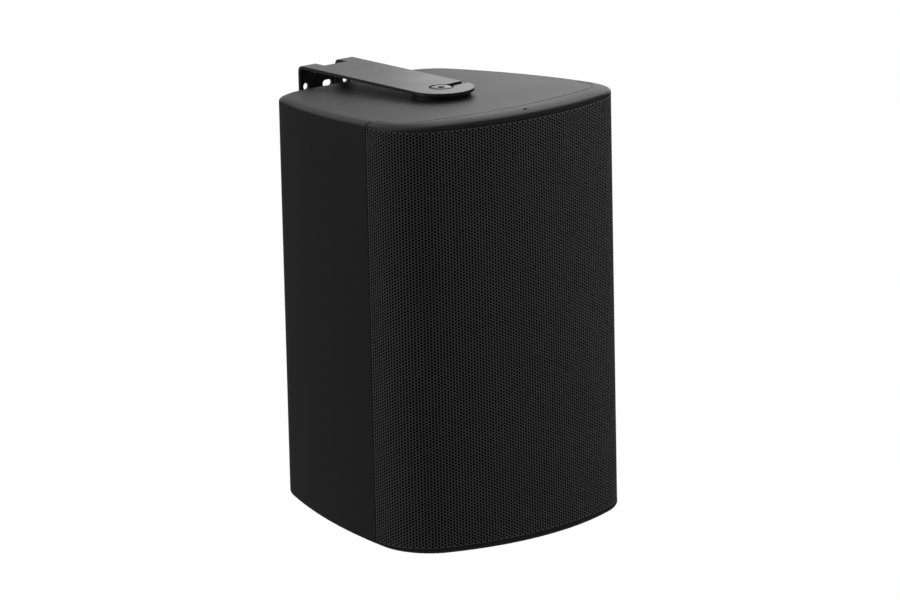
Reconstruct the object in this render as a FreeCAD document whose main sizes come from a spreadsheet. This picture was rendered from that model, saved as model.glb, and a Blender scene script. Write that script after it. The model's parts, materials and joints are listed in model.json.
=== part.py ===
import FreeCAD, Part
import math
import operator
import os
from types import SimpleNamespace

import Sketcher
from FreeCAD import Rotation, Vector

# Two-way wall speaker with a folded U-bracket, in millimetres.
# The wall is the plane y = 0 and the speaker looks along -Y, with +Z up.
# The origin is the middle of the wall plate's back face.

SIZES = [
    # cabinet, seen from above: four tangent radii a side and a flat back
    ("cab_height", 354.8, "height at the front, over the crowned top and bottom"),
    ("cab_width", 234.5, "greatest width"),
    ("cab_depth", 238.5, "front edge to flat back"),
    ("front_radius", 250.0, "bow of the front"),
    ("corner_radius", 47.5, "front corners"),
    ("side_radius", 447.0, "slight belly of the side walls"),
    ("rear_corner_radius", 42.5, "rear corners"),
    ("top_fall", 9.8, "how far the top drops towards the back"),
    ("bottom_rise", 11.4, "how far the bottom rises towards the back"),
    ("wall", 4.0, "moulded cabinet wall"),
    ("lip_width", 9.0, "sloping border of the crowned top and bottom"),
    ("lip_drop", 2.4, "fall of that border"),
    ("edge_radius", 1.5, "its rounded edge above the walls"),
    # joint between front frame and cabinet
    ("split_back", 70.3, "front edge to the joint in the side walls"),
    ("seam_back", 25.6, "front edge to the joint line on the top"),
    ("seam_side", 11.0, "joint line on the top to the side wall"),
    ("seam_radius", 24.0, "its rounded corners"),
    ("seam_bow", 310.0, "its bow along the front"),
    ("tongue", 2.5, "thickness of the cabinet's top and bottom tongue"),
    ("seam_gap", 0.35, "gap round the tongue"),
    ("spigot_length", 10.0, "frame spigot inside the cabinet"),
    ("spigot_wall", 3.0, "its wall"),
    ("fit", 0.2, "sliding clearance"),
    ("thread_play", 0.05, "clearance round a screw in its thread"),
    ("seal_size", 2.0, "seal cord between frame and cabinet"),
    # front frame and grille
    ("rim_top", 7.6, "cabinet's top to the perforated sheet"),
    ("rim_bottom", 10.0, "perforated sheet to the cabinet's bottom"),
    ("grille_recess", 0.4, "sheet behind the cabinet outline"),
    ("grille_sheet", 1.0, "sheet thickness"),
    ("cloth", 0.6, "acoustic cloth behind the sheet"),
    ("grille_gap", 0.4, "gap above and below the sheet"),
    ("baffle_back", 38.0, "front edge to the flat baffle"),
    ("baffle", 12.0, "baffle thickness"),
    ("window_margin", 14.4, "frame above and below the open window"),
    ("frame_side", 12.0, "side walls of the frame"),
    ("release_back", 11.5, "grille release hole behind the front edge"),
    ("release_radius", 1.8, "grille release hole"),
    ("release_depth", 6.0, "its depth"),
    # bracket
    ("rear_gap", 30.5, "flat back to the wall"),
    ("front_to_bolt", 116.6, "front edge to the pivot axis"),
    ("arm_width", 54.0, "bracket width"),
    ("sheet", 2.5, "bracket sheet"),
    ("bend_radius", 5.0, "outside of the bends"),
    ("slot_width", 8.4, "pivot slot, open at one side"),
    ("slot_rise", 2.4, "how far the slot slants back over half the arm"),
    ("recess_radius", 10.2, "coined recess round the bolt head"),
    ("recess_depth", 1.5, "its depth"),
    ("notch_width", 24.0, "relief notch in the bends"),
    ("notch_length", 16.0, "its reach along the arm"),
    ("notch_depth", 8.0, "its reach down the wall plate"),
    ("rib_base", 21.0, "pressed rib of the wall plate"),
    ("rib_top", 15.6, "width of its flat"),
    ("rib_height", 2.0, "its height"),
    ("wall_hole_radius", 2.9, "round wall screw holes"),
    ("wall_hole_x", 21.0, "from the middle"),
    ("wall_hole_down", 18.3, "below the arm's outer face"),
    ("wall_slot_length", 10.0, "levelling slot in the rib"),
    ("wall_slot_width", 6.0, "its width"),
    # pivot
    ("bolt_head_radius", 9.35, "flat bolt head"),
    ("bolt_head", 1.1, "its thickness"),
    ("bolt_radius", 4.0, "shank"),
    ("bolt_length", 24.0, "shank below the head"),
    ("bolt_socket", 5.0, "hexagon socket across flats"),
    ("bolt_socket_depth", 3.5, "its depth"),
    ("pivot_play", 0.15, "running gap between bracket and pivot"),
    ("pad_drop", 3.8, "level pivot pads below the cabinet's height"),
    ("spacer", 2.95, "spacer discs"),
    ("pad_radius", 24.0, "pivot pads and spacer discs"),
    ("insert_radius", 6.0, "brass insert"),
    ("insert_length", 14.0, "its length"),
    ("boss_radius", 11.0, "boss round the insert"),
    ("boss_length", 24.0, "its length"),
    ("boss_floor", 3.0, "left below the bolt's hole"),
    ("pad_thickness", 10.0, "pivot pads"),
    # frame screws
    ("post_inset", 20.25, "from the greatest width"),
    ("post_drop", 29.4, "outer rows below the cabinet's height"),
    ("post_radius", 6.0, "towers and bosses"),
    ("post_bite", 26.0, "boss length behind the joint"),
    ("web", 6.0, "webs from the bosses to the side walls"),
    ("web_gap", 1.0, "spigot to the webs"),
    ("pilot_extra", 1.0, "screw holes beyond the screws' tips"),
    ("frame_screw_radius", 2.0, "shank"),
    ("frame_screw_bite", 15.0, "thread in the cabinet"),
    ("frame_head_radius", 4.5, "head"),
    ("frame_head", 3.0, "its thickness"),
    # woofer, radii about its axis
    ("woofer_rim", 13.0, "basket flange beyond the basket wall"),
    ("woofer_flange", 4.0, "its thickness"),
    ("woofer_frame_radius", 70.0, "basket wall in the baffle"),
    ("woofer_frame_wall", 2.5, "its thickness"),
    ("woofer_straight", 14.0, "straight part of the basket"),
    ("woofer_depth", 52.0, "baffle face to the basket's back"),
    ("woofer_seat_radius", 52.0, "basket's back"),
    ("woofer_seat_hole", 24.0, "hole in the basket's back"),
    ("spider_ledge_radius", 40.0, "ledge that carries the spider"),
    ("spider_ledge", 8.0, "its height"),
    ("spider_ledge_width", 4.0, "its width"),
    ("woofer_plate_radius", 47.0, "top plate"),
    ("woofer_plate", 6.0, "its thickness"),
    ("woofer_magnet_radius", 50.0, "ferrite ring"),
    ("woofer_magnet_hole", 24.0, "its hole"),
    ("woofer_magnet", 18.0, "its thickness"),
    ("woofer_yoke", 6.0, "back plate of the yoke"),
    ("pole_radius", 15.8, "pole piece"),
    ("pole_vent", 5.0, "its vent"),
    ("coil_gap", 0.5, "air each side of the voice coil"),
    ("coil", 1.0, "voice coil and former"),
    ("coil_front", 30.0, "front end of the former"),
    ("coil_overhang", 3.0, "coil behind the top plate"),
    ("cone_gap", 0.5, "cone mouth to the rubber roll"),
    ("cone_landing", 4.0, "flat rim that carries the surround"),
    ("cone_neck", 34.0, "cone neck behind the baffle face"),
    ("cone", 1.2, "cone wall along the axis"),
    ("dust_cap_radius", 26.0, "dust cap"),
    ("dust_cap_rise", 7.0, "its dome"),
    ("surround_roll", 4.5, "radius of the rubber roll"),
    ("surround", 0.8, "rubber thickness"),
    ("woofer_gasket", 2.0, "gasket ring on the flange"),
    ("spider", 0.8, "corrugated spider"),
    ("woofer_screw_inset", 4.5, "screws from the flange's edge"),
    ("woofer_window", 30.0, "width of the basket windows at their inner end"),
    ("driver_clearance", 1.0, "round the drivers in the baffle"),
    # tweeter, radii about its axis
    ("tweeter_plate_radius", 52.0, "faceplate"),
    ("tweeter_plate", 5.0, "its edge"),
    ("tweeter_mouth", 42.0, "waveguide mouth"),
    ("tweeter_throat", 16.5, "waveguide throat"),
    ("tweeter_guide", 9.0, "waveguide depth behind the baffle face"),
    ("tweeter_body_radius", 36.0, "body in the baffle hole"),
    ("dome_radius", 12.5, "silk dome"),
    ("dome_rise", 5.0, "its height"),
    ("dome", 0.5, "its thickness"),
    ("dome_skirt", 6.0, "former behind the dome"),
    ("dome_roll", 1.6, "small roll round the dome"),
    ("dome_rim", 20.5, "outer edge of the roll's film"),
    ("tweeter_top_plate", 4.0, "top plate"),
    ("tweeter_magnet_radius", 32.0, "ferrite ring"),
    ("tweeter_magnet", 12.0, "its thickness"),
    ("tweeter_magnet_hole", 16.0, "its hole"),
    ("tweeter_yoke", 5.0, "back plate"),
    ("tweeter_pole_radius", 11.3, "pole"),
    ("tweeter_screw_ring", 47.0, "screw circle"),
    ("driver_screw_radius", 1.9, "driver screw shank"),
    ("driver_screw_bite", 9.0, "thread in the baffle"),
    ("driver_head_radius", 3.6, "its head"),
    ("driver_head", 2.2, "head thickness"),
    # crossover
    ("board_width", 92.0, "circuit board"),
    ("board_height", 80.0, "its height"),
    ("board", 1.6, "its thickness"),
    ("board_stand", 10.0, "posts behind it"),
    ("board_post_radius", 4.0, "post radius"),
    ("board_inset", 6.0, "screws from the board's edges"),
    ("board_screw_radius", 1.4, "shank"),
    ("board_head_radius", 2.8, "head"),
    ("board_head", 1.8, "head thickness"),
    ("board_screw_bite", 7.0, "thread in the post"),
    ("bass_coil_radius", 17.0, "bass inductor"),
    ("bass_coil", 16.0, "its height"),
    ("treble_coil_radius", 12.0, "treble inductor"),
    ("treble_coil", 12.0, "its height"),
    ("coil_core_radius", 6.0, "hole of the inductors"),
    ("inductor_x", 26.0, "inductors from the middle"),
    ("inductor_up", 18.0, "inductors above the board's middle"),
    ("part_gap", 2.0, "between the parts on the board"),
    ("capacitor_radius", 7.5, "film capacitors"),
    ("capacitor_length", 32.0, "their length"),
    ("resistor_length", 44.0, "cement resistor"),
    ("resistor_side", 9.0, "its section"),
    # terminals
    ("cup_width", 84.0, "terminal cup flange"),
    ("cup_height", 60.0, "its height"),
    ("cup_flange", 3.0, "its thickness"),
    ("cup_rim", 10.0, "flange round the recess"),
    ("cup_depth", 18.0, "recess depth"),
    ("cup_wall", 2.0, "recess wall"),
    ("block_width", 36.0, "terminal block"),
    ("block_height", 18.0, "its height"),
    ("block_depth", 11.0, "its depth"),
    ("terminal_pitch", 16.0, "between the two terminals"),
    ("terminal_head_radius", 3.5, "terminal screws"),
    ("terminal_head", 2.0, "head thickness"),
    ("terminal_bite", 7.0, "thread in the block"),
    ("cup_screw_inset", 5.0, "screws from the flange's edges"),
    # damping
    ("wadding", 34.0, "damping wadding on the back wall"),
    ("wadding_width", 88.0, "its width"),
    ("wadding_height", 52.0, "its height"),
]


class Dim:
    """A size with its value and the sheet formula that it stands for."""

    def __init__(self, value, text):
        self.value = value
        self.text = text

    def __add__(self, other):
        return combine(self, "+", other)

    def __radd__(self, other):
        return combine(other, "+", self)

    def __sub__(self, other):
        return combine(self, "-", other)

    def __rsub__(self, other):
        return combine(other, "-", self)

    def __mul__(self, other):
        return combine(self, "*", other)

    def __rmul__(self, other):
        return combine(other, "*", self)

    def __truediv__(self, other):
        return combine(self, "/", other)

    def __neg__(self):
        return combine(0, "-", self)


SIGNS = {"+": operator.add, "-": operator.sub, "*": operator.mul, "/": operator.truediv}


def as_dim(size):
    if isinstance(size, Dim):
        return size
    return Dim(float(size), "%.6f" % size)


def combine(left, sign, right):
    left, right = as_dim(left), as_dim(right)
    value = SIGNS[sign](left.value, right.value)
    return Dim(value, "(%s %s %s)" % (left.text, sign, right.text))


doc = FreeCAD.newDocument("wall_speaker")
sheet = doc.addObject("Spreadsheet::Sheet", "dims")
for row, (alias, number, note) in enumerate(SIZES, start=1):
    sheet.set("A%d" % row, alias)
    sheet.set("B%d" % row, str(number))
    sheet.set("C%d" % row, note)
    sheet.setAlias("B%d" % row, alias)
doc.recompute()
d = SimpleNamespace(**{alias: Dim(float(sheet.get(alias)), "dims." + alias) for alias, _, _ in SIZES})

SUBPARTS = []


def piece(obj, name):
    """Name a finished sub-part; its label is the name of its file."""
    obj.Label = name
    SUBPARTS.append(obj)
    return obj


def bind(obj, **formulas):
    for prop, size in formulas.items():
        obj.setExpression(prop.replace("__", "."), as_dim(size).text)


def place(obj, x=0, y=0, z=0):
    bind(obj, Placement__Base__x=x, Placement__Base__y=y, Placement__Base__z=z)
    return obj


def origin_feature(body, role):
    return next(f for f in body.Origin.OriginFeatures if f.Role == role)


def new_body(name):
    return doc.addObject("PartDesign::Body", name + "_body")


def new_sketch(body, plane):
    sketch = body.newObject("Sketcher::SketchObject", body.Name + "_sketch")
    sketch.AttachmentSupport = (origin_feature(body, plane), [""])
    sketch.MapMode = "FlatFace"
    return sketch


def tie(sketch, kind, *where, size):
    """Add a driven size to a sketch; a zero distance puts the point on the axis."""
    size = as_dim(size)
    if kind in ("DistanceX", "DistanceY") and abs(size.value) < 1e-9:
        axis = -2 if kind == "DistanceX" else -1
        sketch.addConstraint(Sketcher.Constraint("PointOnObject", where[0], where[1], axis))
        return
    if kind in ("DistanceX", "DistanceY"):
        where = (-1, 1) + where
    index = sketch.addConstraint(Sketcher.Constraint(kind, *where, size.value))
    sketch.setExpression("Constraints[%d]" % index, size.text)


def arc_about(start, end, centre, turn):
    """Arc from start to end round centre; turn is 1 anticlockwise and -1 clockwise."""
    radius = start.sub(centre).Length
    first, last = (start, end) if turn > 0 else (end, start)
    angles = [math.atan2(p.y - centre.y, p.x - centre.x) for p in (first, last)]
    if angles[1] < angles[0]:
        angles[1] += 2 * math.pi
    return Part.ArcOfCircle(Part.Circle(centre, Vector(0, 0, 1), radius), *angles)


def bisected(start, end, along, at):
    """Centre of an arc through two points, with one of its coordinates given."""
    middle = (start + end) * 0.5
    run = end - start
    if along == "x":
        shift = 0.0 if abs(run.y) < 1e-9 else (at - middle.x) * run.x / run.y
        return Vector(at, middle.y - shift, 0)
    shift = 0.0 if abs(run.x) < 1e-9 else (at - middle.y) * run.y / run.x
    return Vector(middle.x - shift, at, 0)


def loop(sketch, points, arcs=None):
    """Closed outline through points that are all tied to the sheet.

    arcs maps a point's index to (axis, size, turn): the edge that leaves the point is an
    arc whose centre has that coordinate on that axis.
    """
    arcs = arcs or {}
    corners = [Vector(as_dim(x).value, as_dim(y).value, 0) for x, y in points]
    edges = []
    for i, start in enumerate(corners):
        end = corners[(i + 1) % len(corners)]
        if i in arcs:
            along, size, turn = arcs[i]
            centre = bisected(start, end, along, as_dim(size).value)
            edge = sketch.addGeometry(arc_about(start, end, centre, turn))
            edges.append((edge, 1, 2) if turn > 0 else (edge, 2, 1))
        else:
            edges.append((sketch.addGeometry(Part.LineSegment(start, end)), 1, 2))
    for i, (edge, first, last) in enumerate(edges):
        after, after_first, _ = edges[(i + 1) % len(edges)]
        sketch.addConstraint(Sketcher.Constraint("Coincident", edge, last, after, after_first))
        tie(sketch, "DistanceX", edge, first, size=points[i][0])
        tie(sketch, "DistanceY", edge, first, size=points[i][1])
        if i in arcs:
            along, size, _ = arcs[i]
            tie(sketch, "DistanceX" if along == "x" else "DistanceY", edge, 3, size=size)


def pad(body, sketch, length):
    feature = body.newObject("PartDesign::Pad", body.Name + "_pad")
    feature.Profile = sketch
    feature.SideType = "Symmetric"
    bind(feature, Length=length)
    return feature


def pocket(body, sketch, length=None, symmetric=True):
    """Cut a sketch away, through everything or by a length, both ways or below the sketch."""
    feature = body.newObject("PartDesign::Pocket", body.Name + "_pocket")
    feature.Profile = sketch
    feature.SideType = "Symmetric" if symmetric else "One side"
    if length is None:
        feature.Type = "ThroughAll"
    else:
        bind(feature, Length=length)
    return feature


def mirrored(body, originals, plane):
    feature = body.newObject("PartDesign::Mirrored", body.Name + "_mirror")
    feature.Originals = originals
    feature.MirrorPlane = (origin_feature(body, plane), [""])
    body.Tip = feature
    return feature


def turned(name, points, arcs=None, about="y"):
    """A turned piece: points are (axial, radius) about Y, or (radius, axial) about Z."""
    body = new_body(name)
    sketch = new_sketch(body, "YZ_Plane" if about == "y" else "XZ_Plane")
    loop(sketch, points, arcs)
    feature = body.newObject("PartDesign::Revolution", body.Name + "_turn")
    feature.Profile = sketch
    feature.ReferenceAxis = (sketch, ["H_Axis" if about == "y" else "V_Axis"])
    feature.Angle = 360.0
    return body


def block(name, xs, ys, zs):
    """A box between pairs of coordinates."""
    box = doc.addObject("Part::Box", name)
    bind(box, Length=xs[1] - xs[0], Width=ys[1] - ys[0], Height=zs[1] - zs[0])
    return place(box, xs[0], ys[0], zs[0])


AXES = {"x": Rotation(Vector(0, 1, 0), 90), "y": Rotation(Vector(1, 0, 0), -90), "z": Rotation()}


def rod(name, radius, length, start, along):
    """A cylinder from a start point along +X, +Y or +Z."""
    cylinder = doc.addObject("Part::Cylinder", name)
    bind(cylinder, Radius=radius, Height=length)
    cylinder.Placement.Rotation = AXES[along]
    return place(cylinder, *start)


def fuse(name, *shapes):
    obj = doc.addObject("Part::MultiFuse", name)
    obj.Shapes = list(shapes)
    obj.Refine = True
    return obj


def common(name, *shapes):
    obj = doc.addObject("Part::MultiCommon", name)
    obj.Shapes = list(shapes)
    obj.Refine = True
    return obj


def cut(name, base, *tools):
    obj = doc.addObject("Part::Cut", name)
    obj.Base = base
    obj.Tool = tools[0] if len(tools) == 1 else fuse(name + "_tools", *tools)
    obj.Refine = True
    return obj


def group(name, *shapes):
    obj = doc.addObject("Part::Compound", name)
    obj.Links = list(shapes)
    return obj


def screw(name, seat, head_radius, head, shank_radius, length, inward):
    """A round-headed screw along Y whose head rests at seat; inward 1 drives it to +Y."""
    x, y, z = seat
    low = y - head if inward > 0 else y
    cap = rod(name + "_head", head_radius, head, (x, low, z), "y")
    shank = rod(name + "_shank", shank_radius, length, (x, y if inward > 0 else y - length, z), "y")
    return fuse(name, cap, shank)


# Main planes, back to front
half_width = d.cab_width / 2
half_height = d.cab_height / 2
y_rear = -d.rear_gap
y_front = y_rear - d.cab_depth
y_bolt = y_front + d.front_to_bolt
y_split = y_front + d.split_back
y_baffle = y_front + d.baffle_back
FAR = 20.0

# Heights that follow the cabinet
d.pad_top = half_height - d.pad_drop
d.arm_top = d.pad_top + d.spacer + d.pivot_play + d.sheet
d.grille_top = half_height - d.rim_top
d.grille_bottom = d.rim_bottom - half_height
d.post_x = half_width - d.post_inset
d.post_z = half_height - d.post_drop
d.tweeter_z = 0.26 * d.cab_height
d.woofer_z = -0.175 * d.cab_height
d.wadding_z = 0.333 * d.cab_height
d.board_z = 0.113 * d.cab_height
d.cup_z = -0.268 * d.cab_height

# Rings of the woofer's flange, outside to inside
d.woofer_flange_radius = d.woofer_frame_radius + d.woofer_rim
d.woofer_screw_ring = d.woofer_flange_radius - d.woofer_screw_inset
d.surround_rim = d.woofer_screw_ring - d.woofer_screw_inset
d.surround_radius = d.woofer_frame_radius - d.woofer_frame_wall - d.surround_roll
d.cone_radius = d.surround_radius - d.surround_roll - d.cone_gap


def level(y, cap_inset):
    """Height of the falling top and the rising bottom at a depth y."""
    share = (y - y_front) / d.cab_depth
    top = half_height - cap_inset - d.top_fall * share
    bottom = cap_inset - half_height + d.bottom_rise * share
    return top, bottom


def plan_half(sketch, inset):
    """Right half of the cabinet seen from above, moved inwards by an inset.

    A front arc, a corner arc that ends at the greatest width, a long side arc and a rear
    corner arc follow each other without a kink, and a straight back closes the shape.
    """
    radii = [size - inset for size in (d.front_radius, d.corner_radius, d.side_radius, d.rear_corner_radius)]
    front, corner, side, rear = (size.value for size in (d.front_radius, d.corner_radius, d.side_radius,
                                                         d.rear_corner_radius))
    wide, ahead, back = half_width.value, y_front.value, y_rear.value
    middle = ahead + front - math.sqrt((front - corner) ** 2 - (wide - corner) ** 2)
    rear_angle = math.asin((back - rear - middle) / (side - rear))
    rear_x = wide - side + (side - rear) * math.cos(rear_angle)
    corner_angle = math.atan2(middle - ahead - front, wide - corner)
    centres = [(0, ahead + front), (wide - corner, middle), (wide - side, middle), (rear_x, back - rear)]
    angles = [-math.pi / 2, corner_angle, 0, rear_angle, math.pi / 2]
    for i, (x, y) in enumerate(centres):
        circle = Part.Circle(Vector(x, y, 0), Vector(0, 0, 1), radii[i].value)
        sketch.addGeometry(Part.ArcOfCircle(circle, angles[i], angles[i + 1]))
    y_first, y_last = y_front + inset, y_rear - inset
    sketch.addGeometry(Part.LineSegment(Vector(rear_x, y_last.value, 0), Vector(0, y_last.value, 0)))
    sketch.addGeometry(Part.LineSegment(Vector(0, y_last.value, 0), Vector(0, y_first.value, 0)))
    for i in range(4):
        sketch.addConstraint(Sketcher.Constraint("Tangent", i, 2, i + 1, 1))
        tie(sketch, "Radius", i, size=radii[i])
    sketch.addConstraint(Sketcher.Constraint("Coincident", 4, 2, 5, 1))
    sketch.addConstraint(Sketcher.Constraint("Coincident", 5, 2, 0, 1))
    sketch.addConstraint(Sketcher.Constraint("PointOnObject", 0, 3, -2))
    sketch.addConstraint(Sketcher.Constraint("PointOnObject", 0, 1, -2))
    sketch.addConstraint(Sketcher.Constraint("PointOnObject", 4, 2, -2))
    sketch.addConstraint(Sketcher.Constraint("Horizontal", 4))
    sketch.addConstraint(Sketcher.Constraint("Horizontal", 1, 3, 2, 3))
    tie(sketch, "DistanceX", 1, 3, size=half_width - d.corner_radius)
    tie(sketch, "DistanceY", 0, 1, size=y_first)
    tie(sketch, "DistanceY", 4, 1, size=y_last)


def envelope(name, inset, cap_inset):
    """The cabinet's outer form, or one parallel to it inside or outside."""
    body = new_body(name)
    plan = new_sketch(body, "XY_Plane")
    plan_half(plan, inset)
    right = pad(body, plan, d.cab_height + 2 * FAR)
    mirrored(body, [right], "YZ_Plane")
    caps = new_sketch(body, "YZ_Plane")
    ahead, behind = y_front - FAR, y_rear + FAR
    sky = half_height + 2 * FAR
    top_ahead, bottom_ahead = level(ahead, cap_inset)
    top_behind, bottom_behind = level(behind, cap_inset)
    loop(caps, [(ahead, top_ahead), (behind, top_behind), (behind, sky), (ahead, sky)])
    loop(caps, [(ahead, bottom_ahead), (ahead, -sky), (behind, -sky), (behind, bottom_behind)])
    pocket(body, caps)
    return body


def rim_edges(shape, upward):
    """Names of the outline edges of the falling top, or of the rising bottom."""
    caps = [face for face in shape.Faces if face.normalAt(0, 0).z * upward > 0.9]
    picked = [i for i, edge in enumerate(shape.Edges, start=1)
              if any(edge.isSame(other) for face in caps for other in face.Edges)]
    return ["Edge%d" % i for i in picked]


def crowned(name, inset):
    """The cabinet's form at an inset, with sloping borders round its top and bottom."""
    body = envelope(name, inset, inset)
    width = d.lip_width - inset
    doc.recompute()
    last = body.Tip
    lip = body.newObject("PartDesign::Chamfer", body.Name + "_lip")
    lip.Base = (last, rim_edges(last.Shape, 1) + rim_edges(last.Shape, -1))
    lip.ChamferType = "Two distances"
    bind(lip, Size=d.lip_drop * width / d.lip_width, Size2=width)
    doc.recompute()
    return body


def wall_edges(shape):
    """Names of the edges between the upright walls and the sloping borders."""
    walls = [face for face in shape.Faces if abs(face.normalAt(0, 0).z) < 0.01]
    picked = []
    for i, edge in enumerate(shape.Edges, start=1):
        level_edge = abs(edge.tangentAt(edge.FirstParameter).z) < 0.1
        if level_edge and any(edge.isSame(other) for face in walls for other in face.Edges):
            picked.append("Edge%d" % i)
    return picked


def round_walls(body):
    """Round the edges where the borders meet the walls."""
    last = body.Tip
    rounding = body.newObject("PartDesign::Fillet", body.Name + "_rounding")
    rounding.Base = (last, wall_edges(last.Shape))
    bind(rounding, Radius=d.edge_radius)
    doc.recompute()


def seam_prism(name, gap):
    """The tongue's outline seen from above: a bowed front, round corners, straight sides."""
    body = new_body(name)
    sketch = new_sketch(body, "XY_Plane")
    reach = half_width - d.seam_side + gap
    edge = y_front + d.seam_back - gap
    back = y_split + gap
    bow, corner = d.seam_bow + gap, d.seam_radius + gap
    apart = reach.value - corner.value
    centre_y = edge.value + bow.value - math.sqrt((bow.value - corner.value) ** 2 - apart ** 2)
    turn = math.atan2(centre_y - edge.value - bow.value, apart)
    up = Vector(0, 0, 1)
    sketch.addGeometry(Part.ArcOfCircle(Part.Circle(Vector(0, edge.value + bow.value, 0), up, bow.value),
                                        -math.pi / 2, turn))
    sketch.addGeometry(Part.ArcOfCircle(Part.Circle(Vector(apart, centre_y, 0), up, corner.value), turn, 0))
    sketch.addGeometry(Part.LineSegment(Vector(reach.value, centre_y, 0), Vector(reach.value, back.value, 0)))
    sketch.addGeometry(Part.LineSegment(Vector(reach.value, back.value, 0), Vector(0, back.value, 0)))
    sketch.addGeometry(Part.LineSegment(Vector(0, back.value, 0), Vector(0, edge.value, 0)))
    for i in range(2):
        sketch.addConstraint(Sketcher.Constraint("Tangent", i, 2, i + 1, 1))
    for i in range(2, 5):
        sketch.addConstraint(Sketcher.Constraint("Coincident", i, 2, (i + 1) % 5, 1))
    sketch.addConstraint(Sketcher.Constraint("PointOnObject", 0, 3, -2))
    sketch.addConstraint(Sketcher.Constraint("PointOnObject", 0, 1, -2))
    sketch.addConstraint(Sketcher.Constraint("PointOnObject", 3, 2, -2))
    sketch.addConstraint(Sketcher.Constraint("Vertical", 2))
    sketch.addConstraint(Sketcher.Constraint("Horizontal", 3))
    tie(sketch, "Radius", 0, size=bow)
    tie(sketch, "Radius", 1, size=corner)
    tie(sketch, "DistanceX", 2, 2, size=reach)
    tie(sketch, "DistanceY", 0, 1, size=edge)
    tie(sketch, "DistanceY", 3, 1, size=back)
    right = pad(body, sketch, d.cab_height + 2 * FAR)
    mirrored(body, [right], "YZ_Plane")
    return body


def circle(sketch, x, y, radius):
    spot = Vector(as_dim(x).value, as_dim(y).value, 0)
    ring = sketch.addGeometry(Part.Circle(spot, Vector(0, 0, 1), as_dim(radius).value))
    tie(sketch, "Radius", ring, size=radius)
    tie(sketch, "DistanceX", ring, 3, size=x)
    tie(sketch, "DistanceY", ring, 3, size=y)


def both_ends(name, top):
    """A piece at the upper pivot and its mirror image at the lower one."""
    lower = doc.addObject("Part::Mirroring", name + "_lower")
    lower.Source = top
    lower.Normal = Vector(0, 0, 1)
    return group(name, top, lower)


def on_ring(radius, count, start_deg):
    """Points spread evenly on a circle, as X and Z offsets."""
    turns = [math.radians(start_deg + 360.0 * i / count) for i in range(count)]
    return [(radius * math.cos(turn), radius * math.sin(turn)) for turn in turns]


# Bracket: one folded sheet


def make_bracket():
    body = new_body("u_bracket")
    half = d.arm_width / 2
    tip = y_bolt - half
    straight = d.arm_top - d.bend_radius
    inside = d.arm_top - d.sheet
    side = new_sketch(body, "YZ_Plane")
    loop(side, [(tip, d.arm_top), (-d.bend_radius, d.arm_top), (0, straight), (0, -straight),
                (-d.bend_radius, -d.arm_top), (tip, -d.arm_top), (tip, -inside), (-d.bend_radius, -inside),
                (-d.sheet, -straight), (-d.sheet, straight), (-d.bend_radius, inside), (tip, inside)],
         {1: ("x", -d.bend_radius, -1), 3: ("x", -d.bend_radius, -1),
          7: ("x", -d.bend_radius, 1), 9: ("x", -d.bend_radius, 1)})
    pad(body, side, d.arm_width)
    ends = new_sketch(body, "XY_Plane")
    loop(ends, [(half + FAR, y_bolt), (half, y_bolt), (-half, y_bolt), (-half - FAR, y_bolt),
                (-half - FAR, tip - FAR), (half + FAR, tip - FAR)], {1: ("y", y_bolt, -1)})
    pocket(body, ends)
    slot = new_sketch(body, "XY_Plane")
    reach = d.slot_width / 2
    slant = d.slot_rise * (half + FAR) / half
    loop(slot, [(0, y_bolt - reach), (half + FAR, y_bolt - reach + slant),
                (half + FAR, y_bolt + reach + slant), (0, y_bolt + reach)], {3: ("x", 0, 1)})
    pocket(body, slot)
    recess = new_sketch(body, "XY_Plane")
    bind(recess, AttachmentOffset__Base__z=d.arm_top)
    circle(recess, 0, y_bolt, d.recess_radius)
    coined = pocket(body, recess, d.recess_depth, symmetric=False)
    notch = new_sketch(body, "XY_Plane")
    bind(notch, AttachmentOffset__Base__z=d.arm_top)
    wide = d.notch_width / 2
    loop(notch, [(-wide, -d.notch_length), (wide, -d.notch_length), (wide, FAR), (-wide, FAR)])
    relief = pocket(body, notch, d.notch_depth, symmetric=False)
    mirrored(body, [coined, relief], "XY_Plane")
    run = 2 * (d.arm_top - d.notch_depth)
    base, flat = d.rib_base / 2, d.rib_top / 2
    raised = new_sketch(body, "XY_Plane")
    loop(raised, [(-base, -d.sheet), (-flat, -d.sheet - d.rib_height), (flat, -d.sheet - d.rib_height),
                  (base, -d.sheet)])
    pad(body, raised, run)
    hollow = new_sketch(body, "XY_Plane")
    loop(hollow, [(-base, 0), (-flat, -d.rib_height), (flat, -d.rib_height), (base, 0)])
    pocket(body, hollow, run)
    holes = new_sketch(body, "XZ_Plane")
    end = (d.wall_slot_length - d.wall_slot_width) / 2
    high = d.wall_slot_width / 2
    for sign in (1, -1):
        row = sign * (d.arm_top - d.wall_hole_down)
        circle(holes, d.wall_hole_x, row, d.wall_hole_radius)
        circle(holes, -d.wall_hole_x, row, d.wall_hole_radius)
        loop(holes, [(-end, row - high), (end, row - high), (end, row + high), (-end, row + high)],
             {1: ("x", end, 1), 3: ("x", -end, 1)})
    pocket(body, holes)
    return piece(body, "u_bracket")


# Pivot: bolts, spacer discs and brass inserts


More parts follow.
